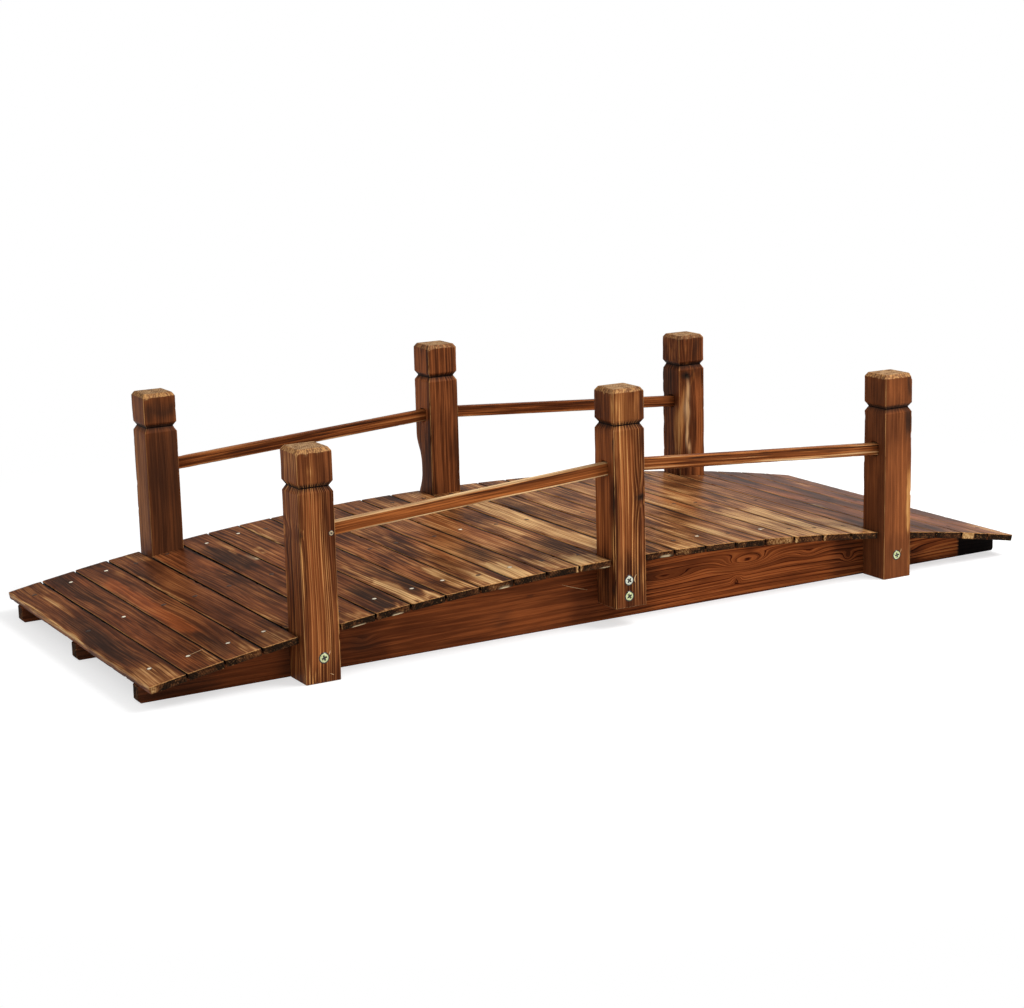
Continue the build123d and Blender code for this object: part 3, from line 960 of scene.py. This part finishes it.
# %% The screws
SCREW_HEAD = dict(radius=6.4, dome=0.9, rise=0.4, cross=1.0, rings=16, spokes=56, arm=0.66)
RAIL_SCREW_HEAD = dict(radius=3.1, dome=0.4, rise=0.25, cross=0.4, rings=9, spokes=32, arm=0.6)
SCREWS = [("left", 1.5, 35.6, 0.3), ("middle", -3.6, 71.7, 0.9), ("middle", -3.6, 47.4, 0.5),
          ("right", -1.2, 38.0, 0.15)]
RAIL_SCREW = (20.6, 211, 0.7)
BOTH_SIDES = {"front": -1, "back": 1}
post_xs = {hand: read_post(f"post_front_{hand}").foot[0] for hand in ("left", "middle", "right")}
post_face = abs(limits("post_front_left")[0][1])

screws = []
for side, sign in BOTH_SIDES.items():
    for number, (hand, off, height, spin) in enumerate(SCREWS):
        place = (post_xs[hand] + off, sign * post_face, height)
        screws.append(put_head(f"screw_{side}_{number}", place, (0, sign, 0), spin, **SCREW_HEAD))
rail_screws = []
off, height, spin = RAIL_SCREW
for side, sign in BOTH_SIDES.items():
    place = (post_xs["left"] + off, sign * post_face, height)
    rail_screws.append(put_head(f"rail_screw_{side}", place, (0, sign, 0), spin, **RAIL_SCREW_HEAD))
print("screws", len(screws), "rail screws", len(rail_screws))

# %% [markdown]
# A nail goes through each board into each stringer. Sixteen of the heads are bright, and their places, across
# and along each board, were judged. The others were stained with the wood, so they lie about where the boards
# cross the stringers.

# %% The nails
NAIL_HEAD = dict(radius=3.1, dome=0.25, rise=0.15, cross=0.0, rings=4, spokes=14)
NAIL_ROWS = {"front": -252, "middle": 0, "back": 252}
BRIGHT_NAILS = {
    "front": {1: (0, -240), 2: (0, -244), 3: (3.4, -246), 4: (1.8, -246), 7: (2, -245), 8: (7.7, -243),
              9: (3.6, -240), 11: (0, -249), 17: (-1.6, -246), 19: (12, -240)},
    "middle": {2: (-0.5, 8), 12: (0, 7)},
    "back": {2: (3.2, 255), 3: (6.8, 257), 6: (2.7, 252), 7: (6.4, 262)},
}

nails = {}
rng = np.random.default_rng(77)
for number, node in enumerate(board_nodes, start=1):
    angle, size = board_seat(node)
    facing = (math.sin(angle), 0, math.cos(angle))
    for row, y in NAIL_ROWS.items():
        spare = (rng.uniform(-7, 7), y + rng.uniform(-4, 4))
        across, along = BRIGHT_NAILS[row].get(number, spare)
        place = on_arc(angle, across, along, size[2])
        nails[number, row] = put_head(f"nail_{number:02d}_{row}", place, facing, 0, **NAIL_HEAD)
print("nails", len(nails), "of which bright", sum(len(row) for row in BRIGHT_NAILS.values()))

# %% [markdown]
# Where a driver or a nail slipped, the stained skin is torn and bare wood shows: thin curved slivers,
# pointed at both ends, that lie on the face. Each is a strip whose width is a half sine along a bent line.

# %% A sliver of torn wood
SLIVER_STEPS = 12


def sliver(name, place, axes, start, heading, length, bend, width):
    """A strip on a face whose across, up and out are `axes`. It starts at `start` on the face and bends.

    Heading = first heading + bend * t, half width = width / 2 * sin(pi t)^0.7, for t from 0 to 1."""
    t = np.linspace(0, 1, SLIVER_STEPS + 1)
    turn = heading + bend * t
    step = length / SLIVER_STEPS
    mid_u = start[0] + np.append(0, np.cumsum(np.cos(turn[:-1]) * step))
    mid_v = start[1] + np.append(0, np.cumsum(np.sin(turn[:-1]) * step))
    half = width / 2 * np.sin(np.pi * np.clip(t, 0.02, 0.98)) ** 0.7
    rows = []
    for off, lift in ((-half, 0.06), (0, 0.2), (half, 0.06), (0, -0.3)):
        u = mid_u - np.sin(turn) * off
        v = mid_v + np.cos(turn) * off
        rows.append(place + np.column_stack([u, v, np.full(len(t), lift)]) @ np.array(axes))
    grid = np.arange(4 * len(t)).reshape(4, -1)
    after = np.roll(grid, -1, axis=0)
    wall = np.stack([grid[:, :-1], grid[:, 1:], after[:, 1:], after[:, :-1]], axis=-1).reshape(-1, 4)
    ends = [grid[:, 0].tolist(), grid[::-1, -1].tolist()]
    return put_piece(name, np.concatenate(rows), wall.tolist() + ends)


print("points in a sliver:", 4 * (SLIVER_STEPS + 1))

# %% [markdown]
# The slivers beside the screws lie on both sides of the bridge, one scratch lies on the front stringer,
# and three lie on boards.

# %% The slivers
POST_SLIVERS = [
    ("left", 1.5, 35.6, (7, 3), 0.9, 7, 0.5, 1.1), ("middle", -3.6, 71.7, (11.5, -5), 2.2, 14, -1.7, 1.6),
    ("right", -1.2, 38.0, (7, 3), 0.9, 7, 0.7, 1.0), ("left", 10, 12, (0, 0), -0.5, 6, 0.0, 0.9)]
BEARER_SLIVER = ((-90, 67), -0.36, 50, 0.1, 0.8)
BOARD_SLIVERS = {2: ((4, -242), 0.2, 22, 0.0, 1.6), 17: ((-6, -250), 0.9, 16, -0.3, 3.0),
                 19: ((8, -246), 0.7, 18, -0.3, 3.0)}
AXIS_X, AXIS_Y, AXIS_Z = np.eye(3)

slivers = []
for side, sign in BOTH_SIDES.items():
    axes = (-sign * AXIS_X, AXIS_Z, sign * AXIS_Y)
    for number, (hand, off, height, *strip) in enumerate(POST_SLIVERS):
        place = (post_xs[hand] - sign * off, sign * post_face, height)
        slivers.append(sliver(f"torn_{side}_{number}", place, axes, *strip))
stringer_face = limits("stringer_front")[0][1]
slivers.append(sliver("torn_bearer", (0, stringer_face, 0), (AXIS_X, AXIS_Z, -AXIS_Y), *BEARER_SLIVER))
for number, strip in BOARD_SLIVERS.items():
    angle, size = board_seat(board_nodes[number - 1])
    out = np.array([math.sin(angle), 0, math.cos(angle)])
    across = np.array([math.cos(angle), 0, -math.sin(angle)])
    place = on_arc(angle, 0, 0, size[2])
    slivers.append(sliver(f"torn_board_{number:02d}", place, (across, AXIS_Y, out), *strip))
print("slivers", len(slivers))

# %% [markdown]
# A material is sums and products on its way from a pattern to a colour. This small class wraps one
# socket so that those sums can be written as such. Everything that isn't a sum goes through node().

# %% Shader expressions
def operator(operation, reflected=False):
    """A Python operator that adds a Math node of two values, the other way round if it is reflected."""
    def add_node(wire, other):
        first, second = (other, wire) if reflected else (wire, other)
        return wire.recipe.node("Math", {"operation": operation}, {0: first, 1: second})

    return add_node


class Wire:
    """The output of a node. Arithmetic on it adds Math nodes."""

    def __init__(self, recipe, socket):
        self.recipe = recipe
        self.socket = socket

    __add__ = __radd__ = operator("ADD")
    __mul__ = __rmul__ = operator("MULTIPLY")
    __sub__ = operator("SUBTRACT")
    __rsub__ = operator("SUBTRACT", reflected=True)
    __truediv__ = operator("DIVIDE")
    __rtruediv__ = operator("DIVIDE", reflected=True)


class Recipe:
    """The nodes of one material or world."""

    def __init__(self, owner):
        owner.use_nodes = True
        self.owner = owner
        self.tree = owner.node_tree
        self.tree.nodes.clear()

    def node(self, kind, settings, sockets, out=0):
        """Add a node: first its settings, then a value or a wire for each of its sockets."""
        made = self.tree.nodes.new("ShaderNode" + kind)
        for key, value in settings.items():
            setattr(made, key, value)
        for key, value in sockets.items():
            if isinstance(value, Wire):
                self.tree.links.new(value.socket, made.inputs[key])
            else:
                made.inputs[key].default_value = value
        return Wire(self, made.outputs[out]) if made.outputs else None

    def attribute(self, name):
        """The vector of this name at each point of the piece."""
        return self.node("Attribute", {"attribute_name": name}, {}, "Vector")

    def parts(self, vector):
        """The three numbers of a vector."""
        return [self.node("SeparateXYZ", {}, {0: vector}, axis) for axis in "XYZ"]

    def scaled(self, vector, by):
        """A vector times three numbers, part by part."""
        return self.node("VectorMath", {"operation": "MULTIPLY"}, {0: vector, 1: by})

    def noise(self, vector, by, detail=2.0, rough=0.5):
        """Noise of about 0 to 1 on a vector that is first scaled by three numbers, per metre."""
        settings = {"Vector": self.scaled(vector, by), "Scale": 1.0, "Detail": detail, "Roughness": rough}
        return self.node("TexNoise", {}, settings)

    def step(self, value, low, high):
        """0 below low, 1 above high, smooth between."""
        settings = {"interpolation_type": "SMOOTHSTEP"}
        return self.node("MapRange", settings, {"Value": value, "From Min": low, "From Max": high})

    def mix(self, factor, first, second):
        """From the first colour to the second by factor."""
        return self.node("Mix", {"data_type": "RGBA"}, {0: factor, 6: first, 7: second}, 2)

    def shade(self, factor, first, second):
        """The first colour times the second, by factor."""
        settings = {"data_type": "RGBA", "blend_type": "MULTIPLY"}
        return self.node("Mix", settings, {0: factor, 6: first, 7: second}, 2)

    def surface(self, kind, sockets, output="OutputMaterial"):
        """End the recipe with a shader, and give back its material or world."""
        self.node(output, {}, {"Surface": self.node(kind, {}, sockets)})
        return self.owner


def srgb(red, green, blue):
    """A screen colour of 0 to 255 as the linear colour that a shader takes."""
    parts = [c / 255 for c in (red, green, blue)]
    return tuple(c / 12.92 if c <= 0.04045 else ((c + 0.055) / 1.055) ** 2.4 for c in parts) + (1.0,)


print("middle grey is", round(srgb(128, 128, 128)[0], 3), "to a shader")

# %% [markdown]
# The wood is one solid pattern. Growth rings are the fraction of the distance from the pith, bent by slow
# noise, with dark late wood on the outer side of each ring. Fibres and streaks are noise pulled long along
# the trunk. Painting an image would be quicker, but a solid pattern joins face to end grain by itself.

# %% Growth rings and fibres
SLOW_BEND = 0.012
QUICK_BEND = 0.0016


def growth_rings(wood, timber, width, line_start):
    """Dark late wood and bright early wood across each ring: the fraction of depth / width."""
    slow = wood.noise(timber, (9, 1.6, 9), 1.0)
    wobble = wood.noise(timber, (70, 5, 70))
    flat = wood.scaled(timber, (1, 0, 1))
    depth = wood.node("VectorMath", {"operation": "LENGTH"}, {0: flat}, "Value")
    depth = depth + (slow - 0.5) * SLOW_BEND + (wobble - 0.5) * QUICK_BEND
    phase = depth / width
    sockets = {"W": phase * 0.37, "Scale": 1.0, "Detail": 1.0}
    uneven = wood.node("TexNoise", {"noise_dimensions": "1D"}, sockets)
    turn = wood.node("Math", {"operation": "FRACT"}, {0: phase + uneven * 1.4})
    late = wood.step(turn, line_start, line_start + 0.2) * (1 - wood.step(turn, 0.9, 1.0))
    early = wood.step(turn, 0.0, 0.12) * (1 - wood.step(turn, 0.2, 0.46)) - 0.3
    return late, early


def fibres(wood, timber):
    """Noise pulled long along the trunk, from the finest fibre to broad clouds."""
    fine = wood.noise(timber, (300, 4.5, 300), 3.0, 0.6)
    return SimpleNamespace(
        fibre=wood.noise(timber, (900, 16, 900), 2.0, 0.6),
        thin=wood.step(fine, 0.43, 0.57),
        streak=wood.noise(timber, (120, 3.2, 120)),
        cloud=wood.noise(timber, (21, 7, 21), 3.0),
        rub=wood.noise(timber, (260, 16, 260), 2.0, 0.6),
        crumb=wood.noise(timber, (420, 260, 420), 3.0, 0.6),
        cut=wood.noise(timber, (420, 3, 420), 3.0, 0.6),
        spot=wood.noise(timber, (70, 3, 110)),
    )


print("slow noise moves a ring by up to", SLOW_BEND / 2 / MM, "mm")

# %% [markdown]
# The finish goes over the pattern in the order in which the real one was made: red stain, the torch's smoke
# and char, with painted shade laid on in the same colours, the brush that bared golden wood, then rubbed
# arrises, cut ends and torn chips.

# %% The charred wood
# These two colours paint the torch's smoke and char, and also painted shade: in the seams, in the posts'
# grooves and sockets, and a few shadows of posts.
SMOKE_AND_SHADE = srgb(58, 40, 31)
CHAR_AND_SHADE = srgb(20, 14, 12)
TORN = srgb(232, 208, 166)
WORN = srgb(206, 154, 96)
HONEY = srgb(184, 122, 68)


def stain(wood, grain, broken, marks, colours):
    """Red stain over brown wood, then smoke and char, which also paint shade. Gives back the colour and both
    masks.
    """
    _, smoke_and_shade, red = marks
    dark, mid, warm = colours
    base = wood.mix(wood.step(broken, -0.32, 0.32), dark, mid)
    base = wood.mix(wood.step(red * 0.85 + broken * 0.8, 0.1, 1.0), base, warm)
    # The smoke mask also holds painted shade, so the smoked and charred masks paint shade too.
    smoked_and_shaded = wood.step(smoke_and_shade * 0.95 - broken * 0.75, 0.1, 0.95)
    base = wood.mix(smoked_and_shaded * 0.9, base, SMOKE_AND_SHADE)
    char_and_shade = wood.step(smoke_and_shade + (grain.cloud - 0.5) * 0.4, 0.9, 1.4)
    return wood.mix(char_and_shade, base, CHAR_AND_SHADE), smoked_and_shaded, char_and_shade


def brush(wood, grain, base, brushed, char_and_shade, golden):
    """Golden wood where the brush took the char off. Gives back the colour and the bared mask."""
    bare = wood.step(brushed, 0.12, 0.9) * (1 - char_and_shade)
    honey = wood.mix(wood.step(brushed, 0.35, 1.15), HONEY, golden)
    honey = wood.shade((1 - grain.thin) * 0.5, honey, srgb(190, 160, 128))
    honey = wood.shade(wood.step(grain.streak, 0.58, 0.36) * 0.22, honey, srgb(184, 140, 100))
    return wood.mix(bare * 0.92, base, honey), bare


def charred_wood(name, dark, mid, warm, golden, ring, uneven, ends, rough, gloss):
    """Stained and torched softwood, from the timber, marks, traits and figure of a piece.

    ring is (width in metres, where the dark line starts, its strength, the bright line's strength).
    uneven is how much clouds, streaks and fine lines count. ends is (dark, light, threshold)."""
    width, line_start, line_dark, line_bright = ring
    clouded, streaked, lined = uneven
    end_dark, end_light, end_level = ends
    wood = Recipe(bpy.data.materials.new(name))
    timber = wood.attribute("timber")
    marks = wood.parts(wood.attribute("marks"))
    gold, smoke_and_shade, _ = marks
    arris, end, pale = wood.parts(wood.attribute("traits"))
    dark_lines, bright_lines, lively = wood.parts(wood.attribute("figure"))
    late, early = growth_rings(wood, timber, width, line_start)
    grain = fibres(wood, timber)
    clouds = grain.cloud - 0.5

    broken = (clouds * clouded + (grain.streak - 0.5) * streaked + (grain.thin - 0.5) * lined) * lively
    colours = (srgb(*dark), srgb(*mid), srgb(*warm))
    base, smoked_and_shaded, char_and_shade = stain(wood, grain, broken, marks, colours)
    brushed = gold + broken + (early - late * 0.6) * bright_lines * line_bright
    base, bare = brush(wood, grain, base, brushed, char_and_shade, srgb(*golden))
    base = wood.shade(late * dark_lines * line_dark, base, srgb(88, 48, 28))
    base = wood.shade((1 - grain.thin) * lively * (0.42 - bare * 0.2), base, srgb(128, 92, 70))

    speckle = (grain.crumb - 0.5) * wood.step(end, 0.1, 0.3) * 4.5
    rubbed = arris + speckle + (grain.rub - 0.5) * 0.8 + clouds * 0.5 - smoke_and_shade * 0.2
    worn = wood.step(rubbed, 0.55, 0.95)
    base = wood.mix(worn * 0.8, base, WORN)
    opened = wood.step(grain.spot * 0.55 + grain.cut * 0.45, end_level, end_level + 0.2)
    end_colour = wood.mix(opened, srgb(*end_dark), srgb(*end_light))
    end_colour = wood.shade(late * 0.6, end_colour, srgb(110, 74, 52))
    base = wood.mix(end * (1 - worn * 0.7), base, end_colour)
    base = wood.mix(pale, base, TORN)
    base = wood.shade(wood.step(grain.fibre, 0.62, 0.36) * 0.3, base, srgb(130, 106, 92))

    relief = grain.fibre * 0.3 + late * dark_lines * 0.4 + grain.thin * 0.12 - end * grain.cut * 0.5
    bump = wood.node("Bump", {}, {"Strength": 0.3, "Distance": 0.0005, "Height": relief})
    rough = rough + (grain.fibre - 0.5) * 0.12 + smoked_and_shaded * 0.05 + end * 0.2
    return wood.surface("BsdfPrincipled", {"Base Color": base, "Roughness": rough, "Normal": bump,
                                           "Specular IOR Level": gloss})


print("worn arrises are", WORN[:3])

# %% [markdown]
# One recipe serves four woods. The deck is the darkest, and its cut ends are charred. The posts and rails
# have brown ends. uneven says how much broad clouds, streaks and fine lines break up the colours.

# %% The four woods
BLACK_ENDS = ((36, 25, 17), (100, 64, 39), 0.48)
BROWN_ENDS = ((118, 84, 56), (186, 148, 106), 0.38)
deck_wood = charred_wood(
    "deck_wood_charred", dark=(70, 38, 22), mid=(134, 77, 45), warm=(160, 84, 43), golden=(232, 190, 130),
    ring=(0.0040, 0.6, 0.42, 0.14), uneven=(1.35, 0.22, 0.22), ends=BLACK_ENDS, rough=0.35, gloss=0.012)
post_wood = charred_wood(
    "post_wood_charred", dark=(77, 40, 23), mid=(144, 83, 46), warm=(170, 98, 53), golden=(226, 168, 102),
    ring=(0.0034, 0.6, 0.45, 0.5), uneven=(1.0, 0.3, 0.2), ends=BROWN_ENDS, rough=0.42, gloss=0.02)
rail_wood = charred_wood(
    "rail_wood_stained", dark=(96, 50, 26), mid=(148, 83, 42), warm=(176, 101, 50), golden=(244, 206, 152),
    ring=(0.0036, 0.6, 0.5, 0.1), uneven=(0.6, 0.6, 0.3), ends=BROWN_ENDS, rough=0.42, gloss=0.02)
stringer_wood = charred_wood(
    "stringer_wood_stained", dark=(84, 42, 23), mid=(137, 73, 39), warm=(178, 96, 48), golden=(196, 134, 78),
    ring=(0.0036, 0.7, 1.0, 0.22), uneven=(0.8, 0.3, 0.25), ends=BLACK_ENDS, rough=0.45, gloss=0.015)


def finish_with(material, pieces):
    """Give all the pieces one material."""
    for piece in pieces:
        piece.data.materials.append(material)


finish_with(deck_wood, boards)
finish_with(post_wood, posts)
finish_with(rail_wood, rails)
finish_with(stringer_wood, stringers)
print("timbers finished:", len(boards) + len(posts) + len(rails) + len(stringers))

# %% [markdown]
# The screws are zinc plated, yellow going a little green, dark in their cross recess and with a painted
# shadow ring round each head, and one on each side is silver. Most nail heads were stained with the boards
# and hardly show; a few are bright. Every head, the nails too, has the painted shadow ring. The torn slivers
# are bare softwood.

# %% Metals and bare wood
RECESS_AND_SHADOW_DARK = srgb(20, 16, 13)


def mottled(recipe, size, detail, rough, first, second):
    """Two tints in a fine mottle, and the mottle itself."""
    mottle = recipe.noise(recipe.node("TexCoord", {}, {}, "Object"), (size, size, size), detail, rough)
    return mottle, recipe.mix(recipe.step(mottle, 0.35, 0.65), srgb(*first), srgb(*second))


def plated(name, first, second, rough, shine=0.3):
    """Plated steel: two tints in a fine mottle, dark in the recess of the head and in a painted shadow ring
    round it.
    """
    plate = Recipe(bpy.data.materials.new(name))
    mottle, colour = mottled(plate, 700, 3.0, 0.6, first, second)
    # Dark in the cross recess and in the painted shadow ring round the head.
    recess_and_shadow = plate.step(plate.node("Attribute", {"attribute_name": "hollow"}, {}, "Fac"), 0.2, 0.6)
    return plate.surface("BsdfPrincipled", {
        "Base Color": plate.mix(recess_and_shadow, colour, RECESS_AND_SHADOW_DARK),
        "Roughness": rough + (mottle - 0.5) * 0.2,
        "Metallic": shine - recess_and_shadow * shine,
    })


zinc = plated("zinc_yellow", (226, 228, 184), (162, 177, 108), 0.34)
silver = plated("zinc_silver", (236, 236, 222), (186, 190, 164), 0.34)
dull = plated("zinc_dull", (206, 184, 146), (160, 134, 98), 0.5, 0.0)
bright_nail = plated("nail_bright", (250, 240, 216), (226, 210, 180), 0.5, 0.0)
stained_nail = plated("nail_stained", (84, 58, 42), (58, 40, 30), 0.6)
SILVER_SCREW = 1
for number, piece in enumerate(screws):
    finish_with(silver if number % len(SCREWS) == SILVER_SCREW else zinc, [piece])
finish_with(dull, rail_screws)
for (number, row), piece in nails.items():
    finish_with(bright_nail if number in BRIGHT_NAILS[row] else stained_nail, [piece])

bare = Recipe(bpy.data.materials.new("bare_wood"))
mottle, tint = mottled(bare, 900, 2.0, 0.5, (226, 194, 146), (188, 142, 92))
rough = 0.6 + (mottle - 0.5) * 0.2
finish_with(bare.surface("BsdfPrincipled", {"Base Color": tint, "Roughness": rough}), slivers)
print("materials:", len(bpy.data.materials))

# %% [markdown]
# The studio: a pale floor, white walls that are lit from below and fall off upwards, and soft lamps. What
# the camera sees of the floor has a little light of its own, so that the open floor is white and the
# shadows stay.

# %% Floor, world and lamps
WHITE = (1, 1, 1, 1)
FLOOR_HALF = 12.0
FLOOR_GLOW = 0.62
AMBIENT = 0.6
CEILING = 0.3


def camera_like(recipe):
    """1 for what the camera sees directly, in a gloss or through glass."""
    kinds = ("Camera", "Glossy", "Transmission")
    seen, gloss, through = (recipe.node("LightPath", {}, {}, f"Is {kind} Ray") for kind in kinds)
    return recipe.node("Math", {"operation": "ADD", "use_clamp": True}, {0: seen + gloss, 1: through})


def grey(level):
    """A grey of this level as a linear colour."""
    return (level, level, level, 1)


corners_of_floor = [(x * FLOOR_HALF, y * FLOOR_HALF, 0) for x, y in ((-1, -1), (1, -1), (1, 1), (-1, 1))]
floor_mesh = bpy.data.meshes.new("floor")
floor_mesh.from_pydata(corners_of_floor, [], [(0, 1, 2, 3)])
floor = bpy.data.objects.new("floor", floor_mesh)
bpy.context.scene.collection.objects.link(floor)
paper = Recipe(bpy.data.materials.new("pale_floor"))
unseen = paper.node("BsdfDiffuse", {}, {"Color": grey(0.8)})
shaded = paper.node("BsdfDiffuse", {}, {"Color": grey(0.45)})
glow = paper.node("Emission", {}, {"Color": WHITE, "Strength": FLOOR_GLOW})
lit = paper.node("AddShader", {}, {0: shaded, 1: glow})
white = paper.node("Emission", {}, {"Color": WHITE, "Strength": 1.0})
here = paper.node("TexCoord", {}, {}, "Object")
away = paper.node("VectorMath", {"operation": "LENGTH"}, {0: here}, "Value")
seen = paper.node("MixShader", {}, {0: paper.step(away, 0.95, 1.5), 1: lit, 2: white})
finish_with(paper.surface("MixShader", {0: camera_like(paper), 1: unseen, 2: seen}), [floor])

sky = Recipe(bpy.data.worlds.new("studio"))
height_seen = sky.parts(sky.node("TexCoord", {}, {}, "Generated"))[2]
wall = 1 - sky.step(height_seen, 0.03, 0.36) * (1 - CEILING)
strength = camera_like(sky) * (wall - AMBIENT) + AMBIENT
bpy.context.scene.world = sky.surface("Background", {"Color": WHITE, "Strength": strength}, "OutputWorld")


def soft_lamp(name, place, target, size, power):
    """A square lamp that faces a point."""
    light = bpy.data.lights.new(name, "AREA")
    light.shape = "SQUARE"
    light.size = size
    light.energy = power
    lamp = bpy.data.objects.new(name, light)
    lamp.location = place
    lamp.rotation_euler = (Vector(target) - Vector(place)).to_track_quat("-Z", "Y").to_euler()
    bpy.context.scene.collection.objects.link(lamp)


soft_lamp("key", place=(1.5, -1.3, 2.7), target=(0, 0, 0.1), size=1.6, power=90)
soft_lamp("fill", place=(-2.6, -1.6, 1.6), target=(-0.3, 0, 0.15), size=2.0, power=12)
print("lamps:", len(bpy.data.lights))

# %% [markdown]
# The camera stands where the photo was taken from: its place, heading, tilt and roll were fitted to the
# corners of the boards and posts. Its lens is given in pixels of the photo's width of 1024.

# %% Camera
CAMERA_PLACE = (-1.734028, -3.013542, 0.888586)
HEADING = math.radians(29.6098)
TILT = math.radians(-12.2615)
ROLL = math.radians(-1.4826)
FOCAL_PIXELS = 2207.54
PHOTO_WIDTH = 1024
SENSOR = 36.0
ahead = Vector((math.sin(HEADING) * math.cos(TILT), math.cos(HEADING) * math.cos(TILT), math.sin(TILT)))
level = Vector((math.cos(HEADING), -math.sin(HEADING), 0))
above = level.cross(ahead)
right = level * math.cos(ROLL) + above * math.sin(ROLL)
up = above * math.cos(ROLL) - level * math.sin(ROLL)
lens = bpy.data.cameras.new("camera")
lens.sensor_width = SENSOR
lens.lens = SENSOR * FOCAL_PIXELS / PHOTO_WIDTH
camera = bpy.data.objects.new("camera", lens)
camera.matrix_world = Matrix((right, up, -ahead)).transposed().to_4x4()
camera.location = CAMERA_PLACE
bpy.context.scene.collection.objects.link(camera)
bpy.context.scene.camera = camera
bpy.context.scene.view_settings.view_transform = "Standard"
print("lens", round(lens.lens, 1), "mm")
